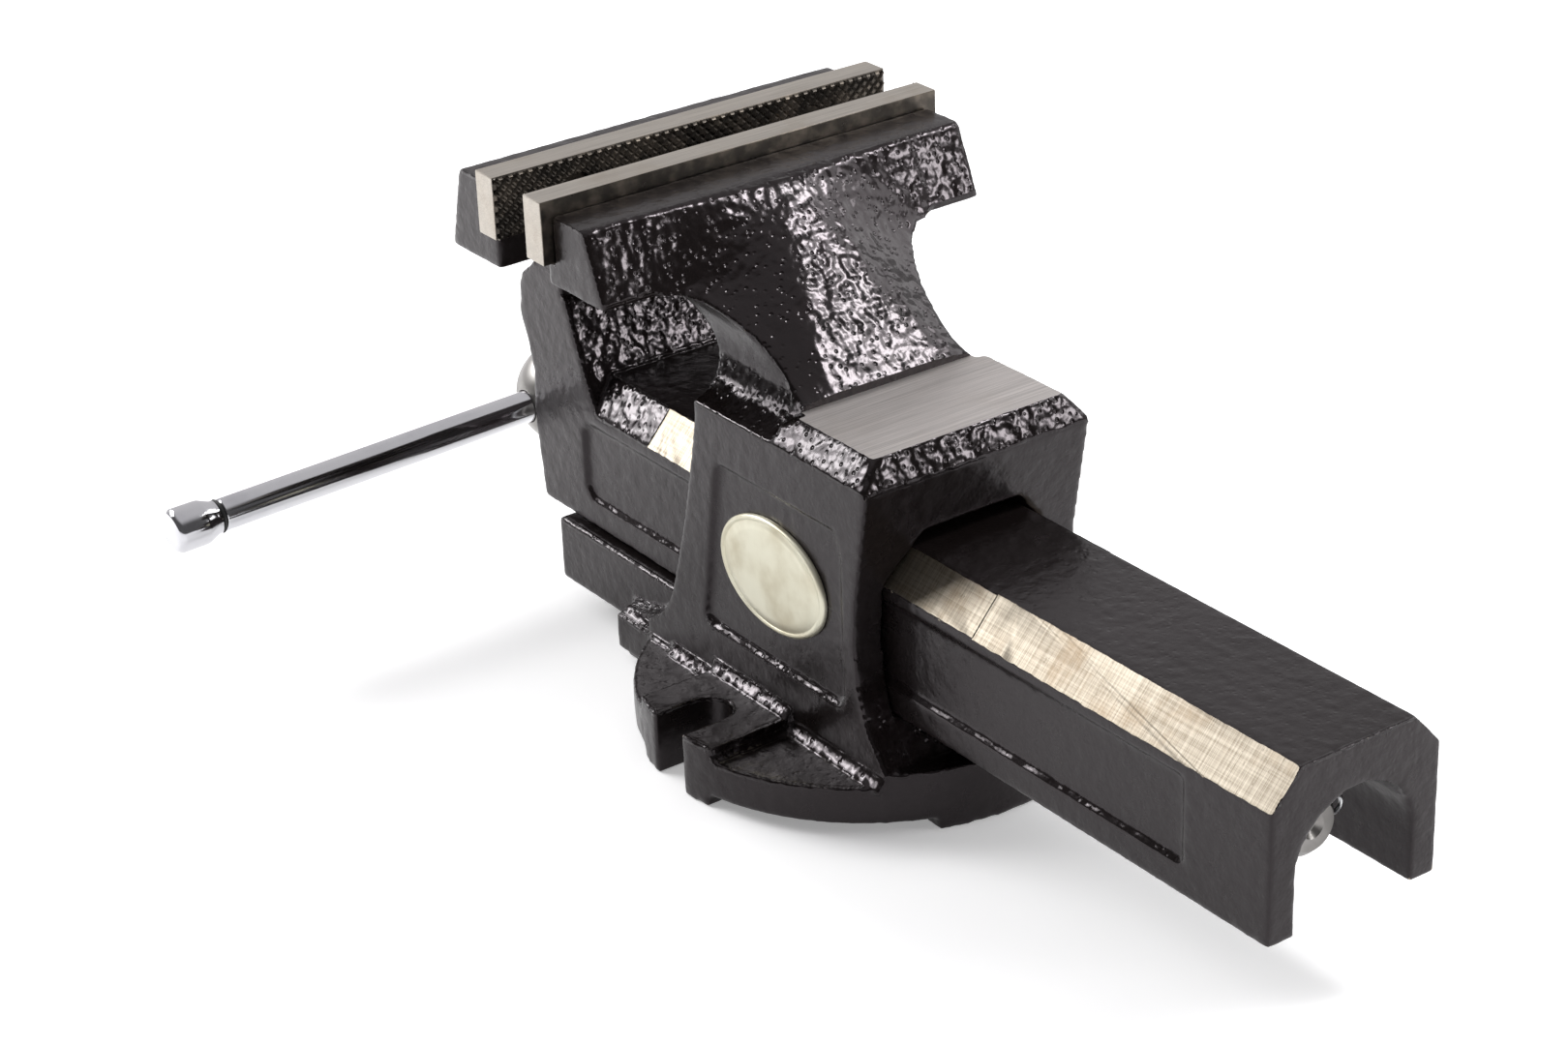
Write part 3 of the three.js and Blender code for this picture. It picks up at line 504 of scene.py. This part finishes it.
def cast_skin(name, node):
    """A copy of a CAD node with melted corners and a sandy skin, of even small faces."""
    source = frame["nodes"][node]
    casting = bpy.data.objects.new(name, source.data.copy())
    bpy.context.scene.collection.objects.link(casting)
    settle(casting)
    fixed(casting, "REMESH", mode="VOXEL", voxel_size=VOXEL)
    fixed(casting, "SMOOTH", factor=0.5, iterations=ROUNDING)
    grain = bpy.data.textures.new("sand_grain", "CLOUDS")
    grain.noise_scale = SAND_GRAIN
    fixed(casting, "DISPLACE", texture=grain, texture_coords="LOCAL", strength=SAND_DEPTH,
          mid_level=0.5)
    triangles = len(casting.data.polygons) * 2
    fixed(casting, "DECIMATE", ratio=min(1, SKIN_TRIANGLES / triangles))
    return settle(casting)


def mark_edges(casting):
    """Stores how sharply convex the skin is at each vertex, 0 to 1, as the attribute edge_wear.

    The bend along an edge is how far its two normals lean apart, over its length (in 1 / m).
    """
    mesh = casting.data
    places = np.empty(len(mesh.vertices) * 3)
    normals = np.empty(len(mesh.vertices) * 3)
    ends = np.empty(len(mesh.edges) * 2, int)
    mesh.vertices.foreach_get("co", places)
    mesh.vertices.foreach_get("normal", normals)
    mesh.edges.foreach_get("vertices", ends)
    places, normals, ends = places.reshape(-1, 3), normals.reshape(-1, 3), ends.reshape(-1, 2)
    step = places[ends[:, 1]] - places[ends[:, 0]]
    turn = normals[ends[:, 1]] - normals[ends[:, 0]]
    bend = (step * turn).sum(1) / (step * step).sum(1)
    total = np.bincount(ends.ravel(), np.repeat(bend, 2), len(places))
    count = np.bincount(ends.ravel(), minlength=len(places))
    mean = total / np.maximum(count, 1)
    wear = np.clip((mean - BLUNT_BEND) / (SHARP_BEND - BLUNT_BEND), 0, 1)
    mesh.attributes.new("edge_wear", "FLOAT", "POINT").data.foreach_set("value", wear)
    print(f"{casting.name}: {(wear > 0.5).mean():.1%} of the skin is a sharp corner")


def machined(casting, test, metal):
    """Gives bare metal to the faces that a cutter left."""
    casting.data.materials.append(metal)
    slot = len(casting.data.materials) - 1
    count = 0
    for face in casting.data.polygons:
        if test(face.center, face.normal):
            face.material_index = slot
            count += 1
    print(f"{casting.name}: {count} machined faces of {metal.name}")


def crisp_borders(casting):
    """Marks the border of the machined faces sharp, so that their shading stays flat."""
    only(casting)
    casting.active_material_index = 1
    bpy.ops.object.mode_set(mode="EDIT")
    bpy.ops.mesh.select_mode(type="FACE")
    bpy.ops.mesh.select_all(action="DESELECT")
    bpy.ops.object.material_slot_select()
    bpy.ops.mesh.region_to_loop()
    bpy.ops.mesh.mark_sharp()
    bpy.ops.object.mode_set(mode="OBJECT")


# %% [markdown]
# The anvil behind the fixed jaw is ground flat: a block takes a thin slice off its top.

# %% The fixed jaw and body
ANVIL = mount("anvil")
GRIND = 0.35 * MM
ANVIL_HALF, ANVIL_FRONT, ANVIL_REAR = 60 * MM, 17 * MM, 80 * MM


def fixed_jaw():
    body = cast_skin("body_casting", "fixed_jaw_body")
    top = ANVIL.z - GRIND
    cut(body, block("grinder", (-ANVIL_HALF, ANVIL_FRONT, top),
                    (ANVIL_HALF, ANVIL_REAR, top + 6 * MM)))
    mark_edges(body)
    stands_for(body, "body", "cast_paint", paint, "fixed_jaw_body")
    machined(body, lambda c, n: abs(c.z - top) < ON_PLANE and n.z > 0.99, anvil_metal)
    smooth_to(body, CASTING_CREASE)
    crisp_borders(body)


fixed_jaw()


# %% [markdown]
# The slide bar's two long chamfers are milled from just behind the jaw to the free end; they are
# the ways that the body bears on. A second cut goes a little deeper beyond the body, so the free
# length has a small step and its bright strips are slightly wider.

# %% The movable jaw and slide bar
BAR_HALF, BAR_TOP_HALF = 41.1 * MM, 28.4 * MM
BAR_TOP, CHAMFER_FOOT = 115.4 * MM, 101.1 * MM
WAYS_START, STEP_START = -101 * MM, 121 * MM
STEP_DEPTH = GRIND + 0.3 * MM
WAY_FOOT = Vector((BAR_HALF, 0, CHAMFER_FOOT))
WAY_SLOPE = Vector((BAR_TOP_HALF - BAR_HALF, 0, BAR_TOP - CHAMFER_FOOT)).normalized()
WAY_OUT = Vector((WAY_SLOPE.z, 0, -WAY_SLOPE.x))


def way_cutter(side, start, depth):
    """A long block that planes one chamfer from a place on the bar to beyond its end."""
    length = cad_high.y + 5 * MM - start
    cutter = block("way_cutter", (0, 0, 0), (8 * MM, length, 60 * MM))
    corner = WAY_FOOT - WAY_OUT * depth - WAY_SLOPE * 20 * MM
    tilt = math.atan2(WAY_SLOPE.x, WAY_SLOPE.z)
    placed(cutter, (0, tilt, 0), (corner.x, start, corner.z))
    cutter.scale.x = side
    return settle(cutter)


def on_way(centre, normal):
    """Whether a face lies on one of the planed strips."""
    below = (WAY_FOOT - Vector((abs(centre.x), 0, centre.z))).dot(WAY_OUT)
    flat = min(abs(below - GRIND), abs(below - STEP_DEPTH)) < ON_PLANE
    return flat and centre.y > WAYS_START and abs(normal.y) < 0.1


def movable_jaw():
    jaw = cast_skin("movable_jaw_casting", "movable_jaw_slide")
    for start, depth in ((WAYS_START, GRIND), (STEP_START, STEP_DEPTH)):
        cut(jaw, *[way_cutter(side, start, depth) for side in (1, -1)])
    mark_edges(jaw)
    stands_for(jaw, "jaw", "cast_paint", paint, "movable_jaw_slide")
    machined(jaw, on_way, way_metal)
    smooth_to(jaw, CASTING_CREASE)
    crisp_borders(jaw)


movable_jaw()


# %% [markdown]
# ## Jaw plates
#
# A jaw plate is a bar of tool steel, ground on its top and ends. Its gripping face is cut with two
# sets of diagonal grooves before it is hardened, which leaves rows of small flat-topped diamonds
# and a black skin. Here the grooves are planned by bisecting the face along each line; then every
# diamond is inset by itself and raised to the CAD plane.

# %% Plate finishes
def black_oxide():
    oxide = Finish("black_oxide", Metallic=0.9)
    cloud = oxide.noise(120, 4)
    tone = oxide.blend(cloud.ramp(0.4, 0.75), (0.05, 0.044, 0.038, 1), (0.13, 0.11, 0.09, 1))
    pits = oxide.noise(900, 2)
    return oxide.set(
        Base_Color=tone, Roughness=0.22 + cloud * 0.16, Normal=oxide.bump(pits, 0.00004, 0.6))


oxide = black_oxide()
plate_metal = ground_steel("ground_plate", (30, 1800, 1800), (0.44, 0.405, 0.36), 0.40, 0.3, 0.28)

# %% The plates
GROOVE_PITCH, GROOVE_DEPTH, GROOVE_HALF = 4.8 * MM, 0.8 * MM, 0.95 * MM
GROUND_BAND = 0.8 * MM
SCREW_SPACING, SCREW_DROP = 120 * MM, 16 * MM


def countersink(face_y, way, x, z):
    """The cutter for one screw hole, from the gripping face inwards."""
    stations = [(-2, 8.6), (1.2, 8.6), (5.3, 4.5), (20, 4.5)]
    cutter = turned("countersink", [(h * MM, r * MM) for h, r in stations], 48)
    return placed(cutter, (-way * math.pi / 2, 0, 0), (x, face_y, z))


def knurled_plate(name, node, body, way):
    """A jaw plate. Its way is the direction along Y from the gripping face into the plate."""
    low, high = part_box(node)
    face_y = low.y if way > 0 else high.y
    bed = face_y + way * GROOVE_DEPTH
    stock_low, stock_high = low.copy(), high.copy()
    if way > 0:
        stock_low.y = bed
    else:
        stock_high.y = bed
    plate = block(name, stock_low, stock_high)
    fixed(plate, "BEVEL", width=0.5 * MM, segments=2)
    reach = (high.x - low.x) / 2 + (high.z - low.z)
    middle = (low.z + high.z) / 2
    lines = int(reach / GROOVE_PITCH) + 1

    def on_bed(centre, normal):
        return abs(centre.y - bed) < 0.01 * MM and abs(normal.y) > 0.99

    def ground(centre, normal):
        end = abs(abs(centre.x) - high.x) < GROUND_BAND
        top = abs(centre.z - high.z) < GROUND_BAND
        return abs(normal.y) < 0.8 and (end or top or centre.z < low.z + GROUND_BAND)

    for lean in (-1, 1):
        for i in range(-lines, lines + 1):
            pick_faces(plate, on_bed)
            bpy.ops.mesh.bisect(plane_co=(i * GROOVE_PITCH, bed, middle), plane_no=(1, 0, lean))
            bpy.ops.object.mode_set(mode="OBJECT")
    pick_faces(plate, on_bed)
    bpy.ops.mesh.inset(thickness=GROOVE_HALF, depth=GROOVE_DEPTH, use_individual=True)
    bpy.ops.object.mode_set(mode="OBJECT")
    z = high.z - SCREW_DROP
    holes = [countersink(face_y, way, side * SCREW_SPACING / 2, z) for side in (-1, 1)]
    cut(plate, *holes)
    stands_for(plate, body, "plate_steel", oxide, node)
    machined(plate, ground, plate_metal)
    smooth_to(plate, 20)


knurled_plate("knurled_plate_fixed", "jaw_plate_fixed", "body", 1)
knurled_plate("knurled_plate_movable", "jaw_plate_movable", "jaw", -1)


# %% [markdown]
# Two countersunk socket screws hold each plate. One is turned as a pattern and its hexagon socket
# is sunk; the four screws are copies of it.

# %% Plate screws
def socket_screw():
    stations = [(1.1, 7.9), (1.3, 8.2), (5.4, 4.0), (28.4, 4.0), (28.8, 3.6)]
    screw = turned("socket_screw", [(h * MM, r * MM) for h, r in stations], 48)
    socket = turned("socket", [(-1 * MM, 2.9 * MM), (4.2 * MM, 2.9 * MM)], 6)
    return cut(screw, socket)


def plate_screws():
    pattern = socket_screw()
    for jaw, body, way in (("fixed", "body", 1), ("movable", "jaw", -1)):
        low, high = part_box(f"jaw_plate_{jaw}")
        face_y = low.y if way > 0 else high.y
        for end, side in (("right", -1), ("left", 1)):
            screw = pattern.copy()
            screw.data = pattern.data.copy()
            screw.name = f"socket_screw_{jaw}_{end}"
            bpy.context.scene.collection.objects.link(screw)
            place = (side * SCREW_SPACING / 2, face_y, high.z - SCREW_DROP)
            placed(screw, (-way * math.pi / 2, 0, 0), place)
            stands_for(screw, body, "zinc_steel", oxide, f"jaw_plate_screw_{jaw}_{end}")
            smooth_to(screw, 30)
    bpy.data.objects.remove(pattern)


plate_screws()


# %% [markdown]
# ## The lead screw
#
# The screw is one forging: a ball with a cross hole for the handle, a flange that pushes on the
# boss, a plain journal through the front wall and a trapezoidal thread behind it. The plain part is
# turned. The thread is a four-point profile, one pitch long, swept round and along by the Screw
# modifier, then squared off at both ends.

# %% Turned steel and the screw
def turned_steel():
    """Steel with fine rings around the Y axis, and some oil in patches."""
    steel = Finish("turned_screw_steel", Metallic=1.0)
    rings = steel.noise(1, 3, stretch=(40, 2600, 40))
    cloud = steel.noise(45, 4)
    tone = steel.blend(cloud.ramp(0.4, 0.8), (0.26, 0.25, 0.24, 1), (0.143, 0.1375, 0.132, 1))
    roughness = 0.28 + rings * 0.15 + cloud.ramp(0.4, 0.7) * 0.12
    return steel.set(Base_Color=tone, Roughness=roughness, Normal=steel.bump(rings, 0.00005, 0.7))


screw_metal = turned_steel()
TURN_PLACE = Vector(next(j["pos_m"] for j in frame["joints"] if j["name"] == "screw_turn"))
HANDLE_AXIS = Vector(next(j["axis"] for j in frame["joints"] if j["name"] == "handle_slide"))
HANDLE_TILT = math.atan2(-HANDLE_AXIS.z, HANDLE_AXIS.x)
SCREW_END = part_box("lead_screw")[1].y
BALL_RADIUS = TURN_PLACE.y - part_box("lead_screw")[0].y
SCREW_RADIUS, ROOT_RADIUS, PITCH = 13 * MM, 9.6 * MM, 6 * MM
FLANGE_RADIUS, FLANGE_DEPTH = 22 * MM, 8 * MM
NECK_RADIUS, HANDLE_BORE_RADIUS, PIN_BORE_RADIUS = 15 * MM, 7.9 * MM, 2.6 * MM
FLANGE_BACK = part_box("thrust_washer")[0].y - 0.3 * MM
JOURNAL_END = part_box("screw_collar")[1].y + 3 * MM
THREAD_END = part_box("stop_washer")[0].y - 3 * MM


def along_screw(piece):
    """Lays a piece that was made along Z onto the screw's line, with Z as Y."""
    return placed(piece, (-math.pi / 2, 0, 0), (TURN_PLACE.x, 0, TURN_PLACE.z))


def cross_bore(name, radius, half, tilt, y):
    """The cutter for a hole across the screw at y. It lies along X, but for its tilt."""
    bore = turned(name, [(-half, radius), (half, radius)], 64)
    return placed(bore, (0, math.pi / 2 + tilt, 0), (0, y, TURN_PLACE.z))


def ball_and_journal():
    centre = TURN_PLACE.y
    first, last, steps = math.radians(-88), math.acos(NECK_RADIUS / BALL_RADIUS), 30
    angles = [first + (last - first) * i / steps for i in range(steps + 1)]
    ball = [(centre + BALL_RADIUS * math.sin(a), BALL_RADIUS * math.cos(a)) for a in angles]
    front = FLANGE_BACK - FLANGE_DEPTH
    shaft = [
        (front - 2 * MM, NECK_RADIUS), (front - 0.6 * MM, NECK_RADIUS + 0.5 * MM),
        (front, NECK_RADIUS + 2 * MM), (front, FLANGE_RADIUS - 1 * MM),
        (front + 1 * MM, FLANGE_RADIUS),
        (FLANGE_BACK - 0.5 * MM, FLANGE_RADIUS), (FLANGE_BACK, FLANGE_RADIUS - 0.5 * MM),
        (FLANGE_BACK, SCREW_RADIUS), (JOURNAL_END - 2 * MM, SCREW_RADIUS),
        (JOURNAL_END, ROOT_RADIUS),
    ]
    head = along_screw(turned("screw_ball", ball + shaft, 128))
    cut(head, cross_bore("handle_bore", HANDLE_BORE_RADIUS, 40 * MM, HANDLE_TILT, centre))
    fixed(head, "BEVEL", width=0.6 * MM, segments=2, limit_method="ANGLE",
          angle_limit=math.radians(50))
    stands_for(head, "screw", "screw_steel", screw_metal, "lead_screw")
    smooth_to(head, 35)


def thread():
    """The profile holds (radius, part of a pitch) points. The ends are then cut off square."""
    start, end = JOURNAL_END - 1 * MM, THREAD_END
    turns = math.ceil((end - start) / PITCH) + 2
    profile = [(ROOT_RADIUS, 0.0), (ROOT_RADIUS, 0.33), (SCREW_RADIUS, 0.45), (SCREW_RADIUS, 0.88)]
    bpy.ops.object.select_all(action="DESELECT")
    bpy.ops.mesh.primitive_plane_add(size=MM)
    piece = bpy.context.object
    piece.name = "screw_thread"
    bpy.ops.object.mode_set(mode="EDIT")
    bpy.ops.mesh.select_mode(type="VERT")
    bpy.ops.mesh.select_all(action="SELECT")
    bpy.ops.mesh.merge(type="CENTER")
    bpy.ops.transform.translate(value=(ROOT_RADIUS, 0, -PITCH))
    points = profile[1:] + [(ROOT_RADIUS, 1.0)]
    for (r0, t0), (r1, t1) in zip(profile, points):
        bpy.ops.mesh.extrude_region_move(
            TRANSFORM_OT_translate={"value": (r1 - r0, 0, (t1 - t0) * PITCH)})
    bpy.ops.object.mode_set(mode="OBJECT")
    fixed(piece, "SCREW", screw_offset=PITCH, iterations=turns, steps=40, render_steps=40,
          use_merge_vertices=True, merge_threshold=1e-6)
    settle(piece)
    for height, keep in ((0, 1), (end - start, -1)):
        bpy.ops.object.mode_set(mode="EDIT")
        bpy.ops.mesh.select_all(action="SELECT")
        bpy.ops.mesh.bisect(plane_co=(0, 0, height), plane_no=(0, 0, -keep),
                            use_fill=True, clear_outer=True)
        bpy.ops.object.mode_set(mode="OBJECT")
    placed(piece, (-math.pi / 2, 0, 0), (0, start, TURN_PLACE.z))
    stands_for(piece, "screw", "screw_steel", screw_metal, "lead_screw")
    smooth_to(piece, 30)


def screw_tail():
    """The plain end that carries the stop washer and the split pin."""
    stations = [
        (THREAD_END - 1 * MM, ROOT_RADIUS), (THREAD_END - 1 * MM, SCREW_RADIUS - 0.5 * MM),
        (THREAD_END, SCREW_RADIUS), (SCREW_END - 3 * MM, SCREW_RADIUS),
        (SCREW_END, SCREW_RADIUS - 3 * MM), (SCREW_END, 5 * MM), (SCREW_END - 2 * MM, 2.4 * MM),
    ]
    tail = along_screw(turned("screw_tail", stations))
    pin_y = (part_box("split_pin")[0].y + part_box("split_pin")[1].y) / 2
    cut(tail, cross_bore("pin_bore", PIN_BORE_RADIUS, 20 * MM, 0, pin_y))
    stands_for(tail, "screw", "screw_steel", screw_metal, "lead_screw")
    smooth_to(tail, 35)


ball_and_journal()
thread()
screw_tail()


# %% [markdown]
# Washers are rings with a chamfered rim. A split pin is one wire bent double, so it is a curve with
# a thickness: an eye on one side, and a long and a short leg on the other.

# %% Zinc, washers and split pin
def bright_zinc():
    zinc = Finish("bright_zinc", Metallic=1.0)
    cloud = zinc.noise(70, 4)
    tone = zinc.blend(cloud.ramp(0.3, 0.7), (0.62, 0.63, 0.66, 1), (0.47, 0.47, 0.45, 1))
    return zinc.set(Base_Color=tone, Roughness=0.22 + cloud * 0.2,
                    Normal=zinc.bump(zinc.noise(500, 2), 0.00003, 0.6))


zinc = bright_zinc()


def washer(node, bore):
    low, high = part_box(node)
    radius = high.z - TURN_PLACE.z
    edge = 0.5 * MM
    stations = [(low.y, radius - edge), (low.y + edge, radius), (high.y - edge, radius),
                (high.y, radius - edge)]
    ring = along_screw(turned(f"{node}_ring", stations))
    cut(ring, along_screw(turned("bore", [(low.y - edge, bore), (high.y + edge, bore)])))
    stands_for(ring, "screw", "zinc_steel", zinc, node)
    smooth_to(ring, 35)


washer("thrust_washer", SCREW_RADIUS + 0.4 * MM)
washer("spring_washer", SCREW_RADIUS + 0.4 * MM)
washer("stop_washer", SCREW_RADIUS + 0.3 * MM)


def bent_wire(name, points, radius):
    """A wire along given points, as a mesh with closed ends."""
    curve = bpy.data.curves.new(name, "CURVE")
    curve.dimensions = "3D"
    curve.bevel_depth = radius
    curve.bevel_resolution = 5
    curve.use_fill_caps = True
    line = curve.splines.new("BEZIER")
    line.bezier_points.add(len(points) - 1)
    for knot, point in zip(line.bezier_points, points):
        knot.co = point
        knot.handle_left_type = knot.handle_right_type = "AUTO"
    wire = bpy.data.objects.new(name, curve)
    bpy.context.scene.collection.objects.link(wire)
    only(wire)
    bpy.ops.object.convert(target="MESH")
    return settle(wire)


def split_pin():
    low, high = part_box("split_pin")
    y, z = (low.y + high.y) / 2, TURN_PLACE.z
    leg, loop, eye = 1.15 * MM, 3.4 * MM, low.x + 4.4 * MM
    bend = [(eye + loop * math.cos(a), loop * math.sin(a))
            for a in (math.radians(60 + 30 * i) for i in range(9))]
    route = [(high.x - 1 * MM, leg), (0, leg), (eye + 5 * MM, leg), *bend, (eye + 5 * MM, -leg),
             (0, -leg), (high.x - 3 * MM, -leg)]
    pin = bent_wire("split_pin_wire", [(x, y, z + h) for x, h in route], 0.95 * MM)
    stands_for(pin, "screw", "zinc_steel", zinc, "split_pin")
    smooth_to(pin, 40)


split_pin()


# %% [markdown]
# ## The handle
#
# The handle is a polished, chromed bar with a loose fit in the ball. Each end has a black ring and
# a cap that flares from a collar to a short drum. All of it is turned along one line, tilted as the
# real one hangs.

# %% Chrome, rubber and the handle
def chrome():
    plating = Finish("polished_chrome", Metallic=1.0)
    haze = plating.noise(1, 3, stretch=(14, 420, 420))
    smear = plating.noise(30, 4)
    tone = plating.blend(smear.ramp(0.4, 0.8), (0.60, 0.60, 0.62, 1), (0.46, 0.46, 0.49, 1))
    return plating.set(Base_Color=tone, Roughness=0.07 + haze * 0.08 + smear.ramp(0.5, 0.8) * 0.08,
                       Normal=plating.bump(haze, 0.00003, 0.4))


def black_rubber():
    rubber = Finish("black_rubber")
    grain = rubber.noise(800, 2)
    tone = rubber.blend(grain, (0.008, 0.008, 0.008, 1), (0.02, 0.02, 0.02, 1))
    return rubber.set(Base_Color=tone, Roughness=0.6 + grain * 0.2,
                      Normal=rubber.bump(grain, 0.00005, 0.5))


plating, rubber = chrome(), black_rubber()
HANDLE_RADIUS, SPIGOT_RADIUS = 7.5 * MM, 4.5 * MM


def along_handle(piece):
    """Lays a piece that was made along Z onto the handle's line, with Z as the +X direction."""
    return placed(piece, (0, math.pi / 2 + HANDLE_TILT, 0), TURN_PLACE)


def station(point):
    """How far along the handle a place of the frame lies."""
    return (Vector(point) - TURN_PLACE).dot(HANDLE_AXIS)


def reach_of(node):
    """Where a piece of the handle begins and ends along it, from its corners."""
    places = [station(v.co) for v in frame["nodes"][node].data.vertices]
    return min(places), max(places)


def handle():
    shoulders = [reach_of(f"handle_ring_{end}") for end in ("right", "left")]
    start, end = shoulders[0][1] + 0.3 * MM, shoulders[1][0] - 0.3 * MM
    tips = reach_of("handle_bar")
    edge = 0.6 * MM
    bar = along_handle(turned("handle_rod", [
        (tips[0], SPIGOT_RADIUS), (start, SPIGOT_RADIUS), (start, HANDLE_RADIUS - edge),
        (start + edge, HANDLE_RADIUS), (end - edge, HANDLE_RADIUS), (end, HANDLE_RADIUS - edge),
        (end, SPIGOT_RADIUS), (tips[1], SPIGOT_RADIUS),
    ]))
    stands_for(bar, "handle", "handle_chrome", plating, "handle_bar")
    smooth_to(bar, 30)
    for end, way in (("right", -1), ("left", 1)):
        handle_end(end, way)


def handle_end(end, way):
    """A ring and a cap. The cap's outline runs outwards along the handle, in mm from its ring."""
    near, far = sorted(reach_of(f"handle_ring_{end}"), key=abs)
    rim, crown = HANDLE_RADIUS - 0.2 * MM, HANDLE_RADIUS + 0.35 * MM
    outline = sorted([(near, rim), ((near + far) / 2, crown), (far, rim)])
    ring = along_handle(turned(f"grip_ring_{end}", outline))
    stands_for(ring, "handle", "ring_rubber", rubber, f"handle_ring_{end}")
    smooth_to(ring, 50)
    near, far = sorted(reach_of(f"handle_cap_{end}"), key=abs)
    outline = [
        (0, 7.3), (0.4, 7.8), (1.6, 7.9), (2.4, 8.2), (7.0, 10.1), (8.2, 10.3), (19.6, 10.3),
        (20.4, 10.1), (21.8, 8.9), (22.2, 8.2), (22.3, 6.0),
    ]
    stations = sorted((near + way * h * MM, r * MM) for h, r in outline)
    cap = along_handle(turned(f"end_cap_{end}", stations))
    stands_for(cap, "handle", "handle_chrome", plating, f"handle_cap_{end}")
    smooth_to(cap, 30)


handle()


# %% [markdown]
# ## The badge
#
# An oval brass plate, pressed to a low dome with a bevelled rim, sits in the sunk panel on the side
# of the body. It carries no lettering here, only a fine engraved line inside its rim.

# %% Badge
def badge_brass():
    brass = Finish("satin_badge_brass", Metallic=0.85)
    brushed = brass.noise(1, 3, stretch=(400, 1500, 60))
    cloud = brass.noise(60, 4)
    tone = brass.blend(cloud.ramp(0.35, 0.75), (0.66, 0.64, 0.52, 1), (0.50, 0.46, 0.34, 1))
    return brass.set(Base_Color=tone, Roughness=0.36 + brushed * 0.14,
                     Normal=brass.bump(brushed, 0.00003, 0.5))


def badge():
    low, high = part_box("badge_plate")
    half_y, half_z = (high.y - low.y) / 2, (high.z - low.z) / 2
    thick = high.x - low.x
    outline = [
        (0, 1.0), (0.42, 1.0), (0.66, 0.985), (0.8, 0.955), (0.78, 0.93), (0.66, 0.915),
        (0.66, 0.895), (0.76, 0.88), (0.84, 0.75), (0.92, 0.5), (0.98, 0.25), (1.0, 0.04),
    ]
    plate = turned("badge_oval", [(h * thick, r * half_z) for h, r in outline], 160)
    plate.scale = (1, half_y / half_z, 1)
    settle(plate)
    centre = (low + high) / 2
    placed(plate, (0, math.pi / 2, 0), (low.x, centre.y, centre.z))
    stands_for(plate, "body", "badge_brass", badge_brass(), "badge_plate")
    smooth_to(plate, 40)


badge()


# %% [markdown]
# ## What stays as the CAD made it
#
# The nut, the collar, the spring and the bolts under the body have the right shape already. They
# keep their meshes and get a finish of their own.

# %% Iron and zinc for the inner pieces
def machined_iron():
    iron = Finish("machined_iron", Metallic=0.9)
    cloud = iron.noise(90, 4)
    tone = iron.blend(cloud.ramp(0.35, 0.7), (0.20, 0.18, 0.16, 1), (0.11, 0.09, 0.075, 1))
    return iron.set(Base_Color=tone, Roughness=0.42 + cloud * 0.2,
                    Normal=iron.bump(iron.noise(420, 3), 0.00008, 0.7))


iron = machined_iron()
INNER = {
    "screw_nut": iron, "screw_collar": iron, "collar_pin": zinc, "take_up_spring": zinc,
    "nut_bolt_front": zinc, "nut_bolt_rear": zinc,
    "nut_bolt_washer_front": zinc, "nut_bolt_washer_rear": zinc,
}
for node, finish in INNER.items():
    inner = frame["nodes"][node]
    inner.data.materials.clear()
    inner.data.materials.append(finish)
print("inner pieces:", ", ".join(INNER))


# %% [markdown]
# ## The floor
#
# A plain white sheet, large enough to fill the view. It glows a little, as a light table does,
# which keeps the shadows faint and lights the vise from below.

# %% The floor
def floor():
    bpy.ops.object.select_all(action="DESELECT")
    bpy.ops.mesh.primitive_plane_add(size=12, location=(0, 0, cad_low.z - 0.2 * MM))
    sheet = bpy.context.object
    sheet.name = "studio_floor"
    white = Finish("white_sheet", Specular_IOR_Level=0.1, Emission_Strength=0.3)
    shade = white.blend(white.noise(2, 2), (0.93, 0.93, 0.935, 1), (0.96, 0.96, 0.96, 1))
    sheet.data.materials.append(white.set(Base_Color=shade, Emission_Color=shade, Roughness=0.8))


floor()
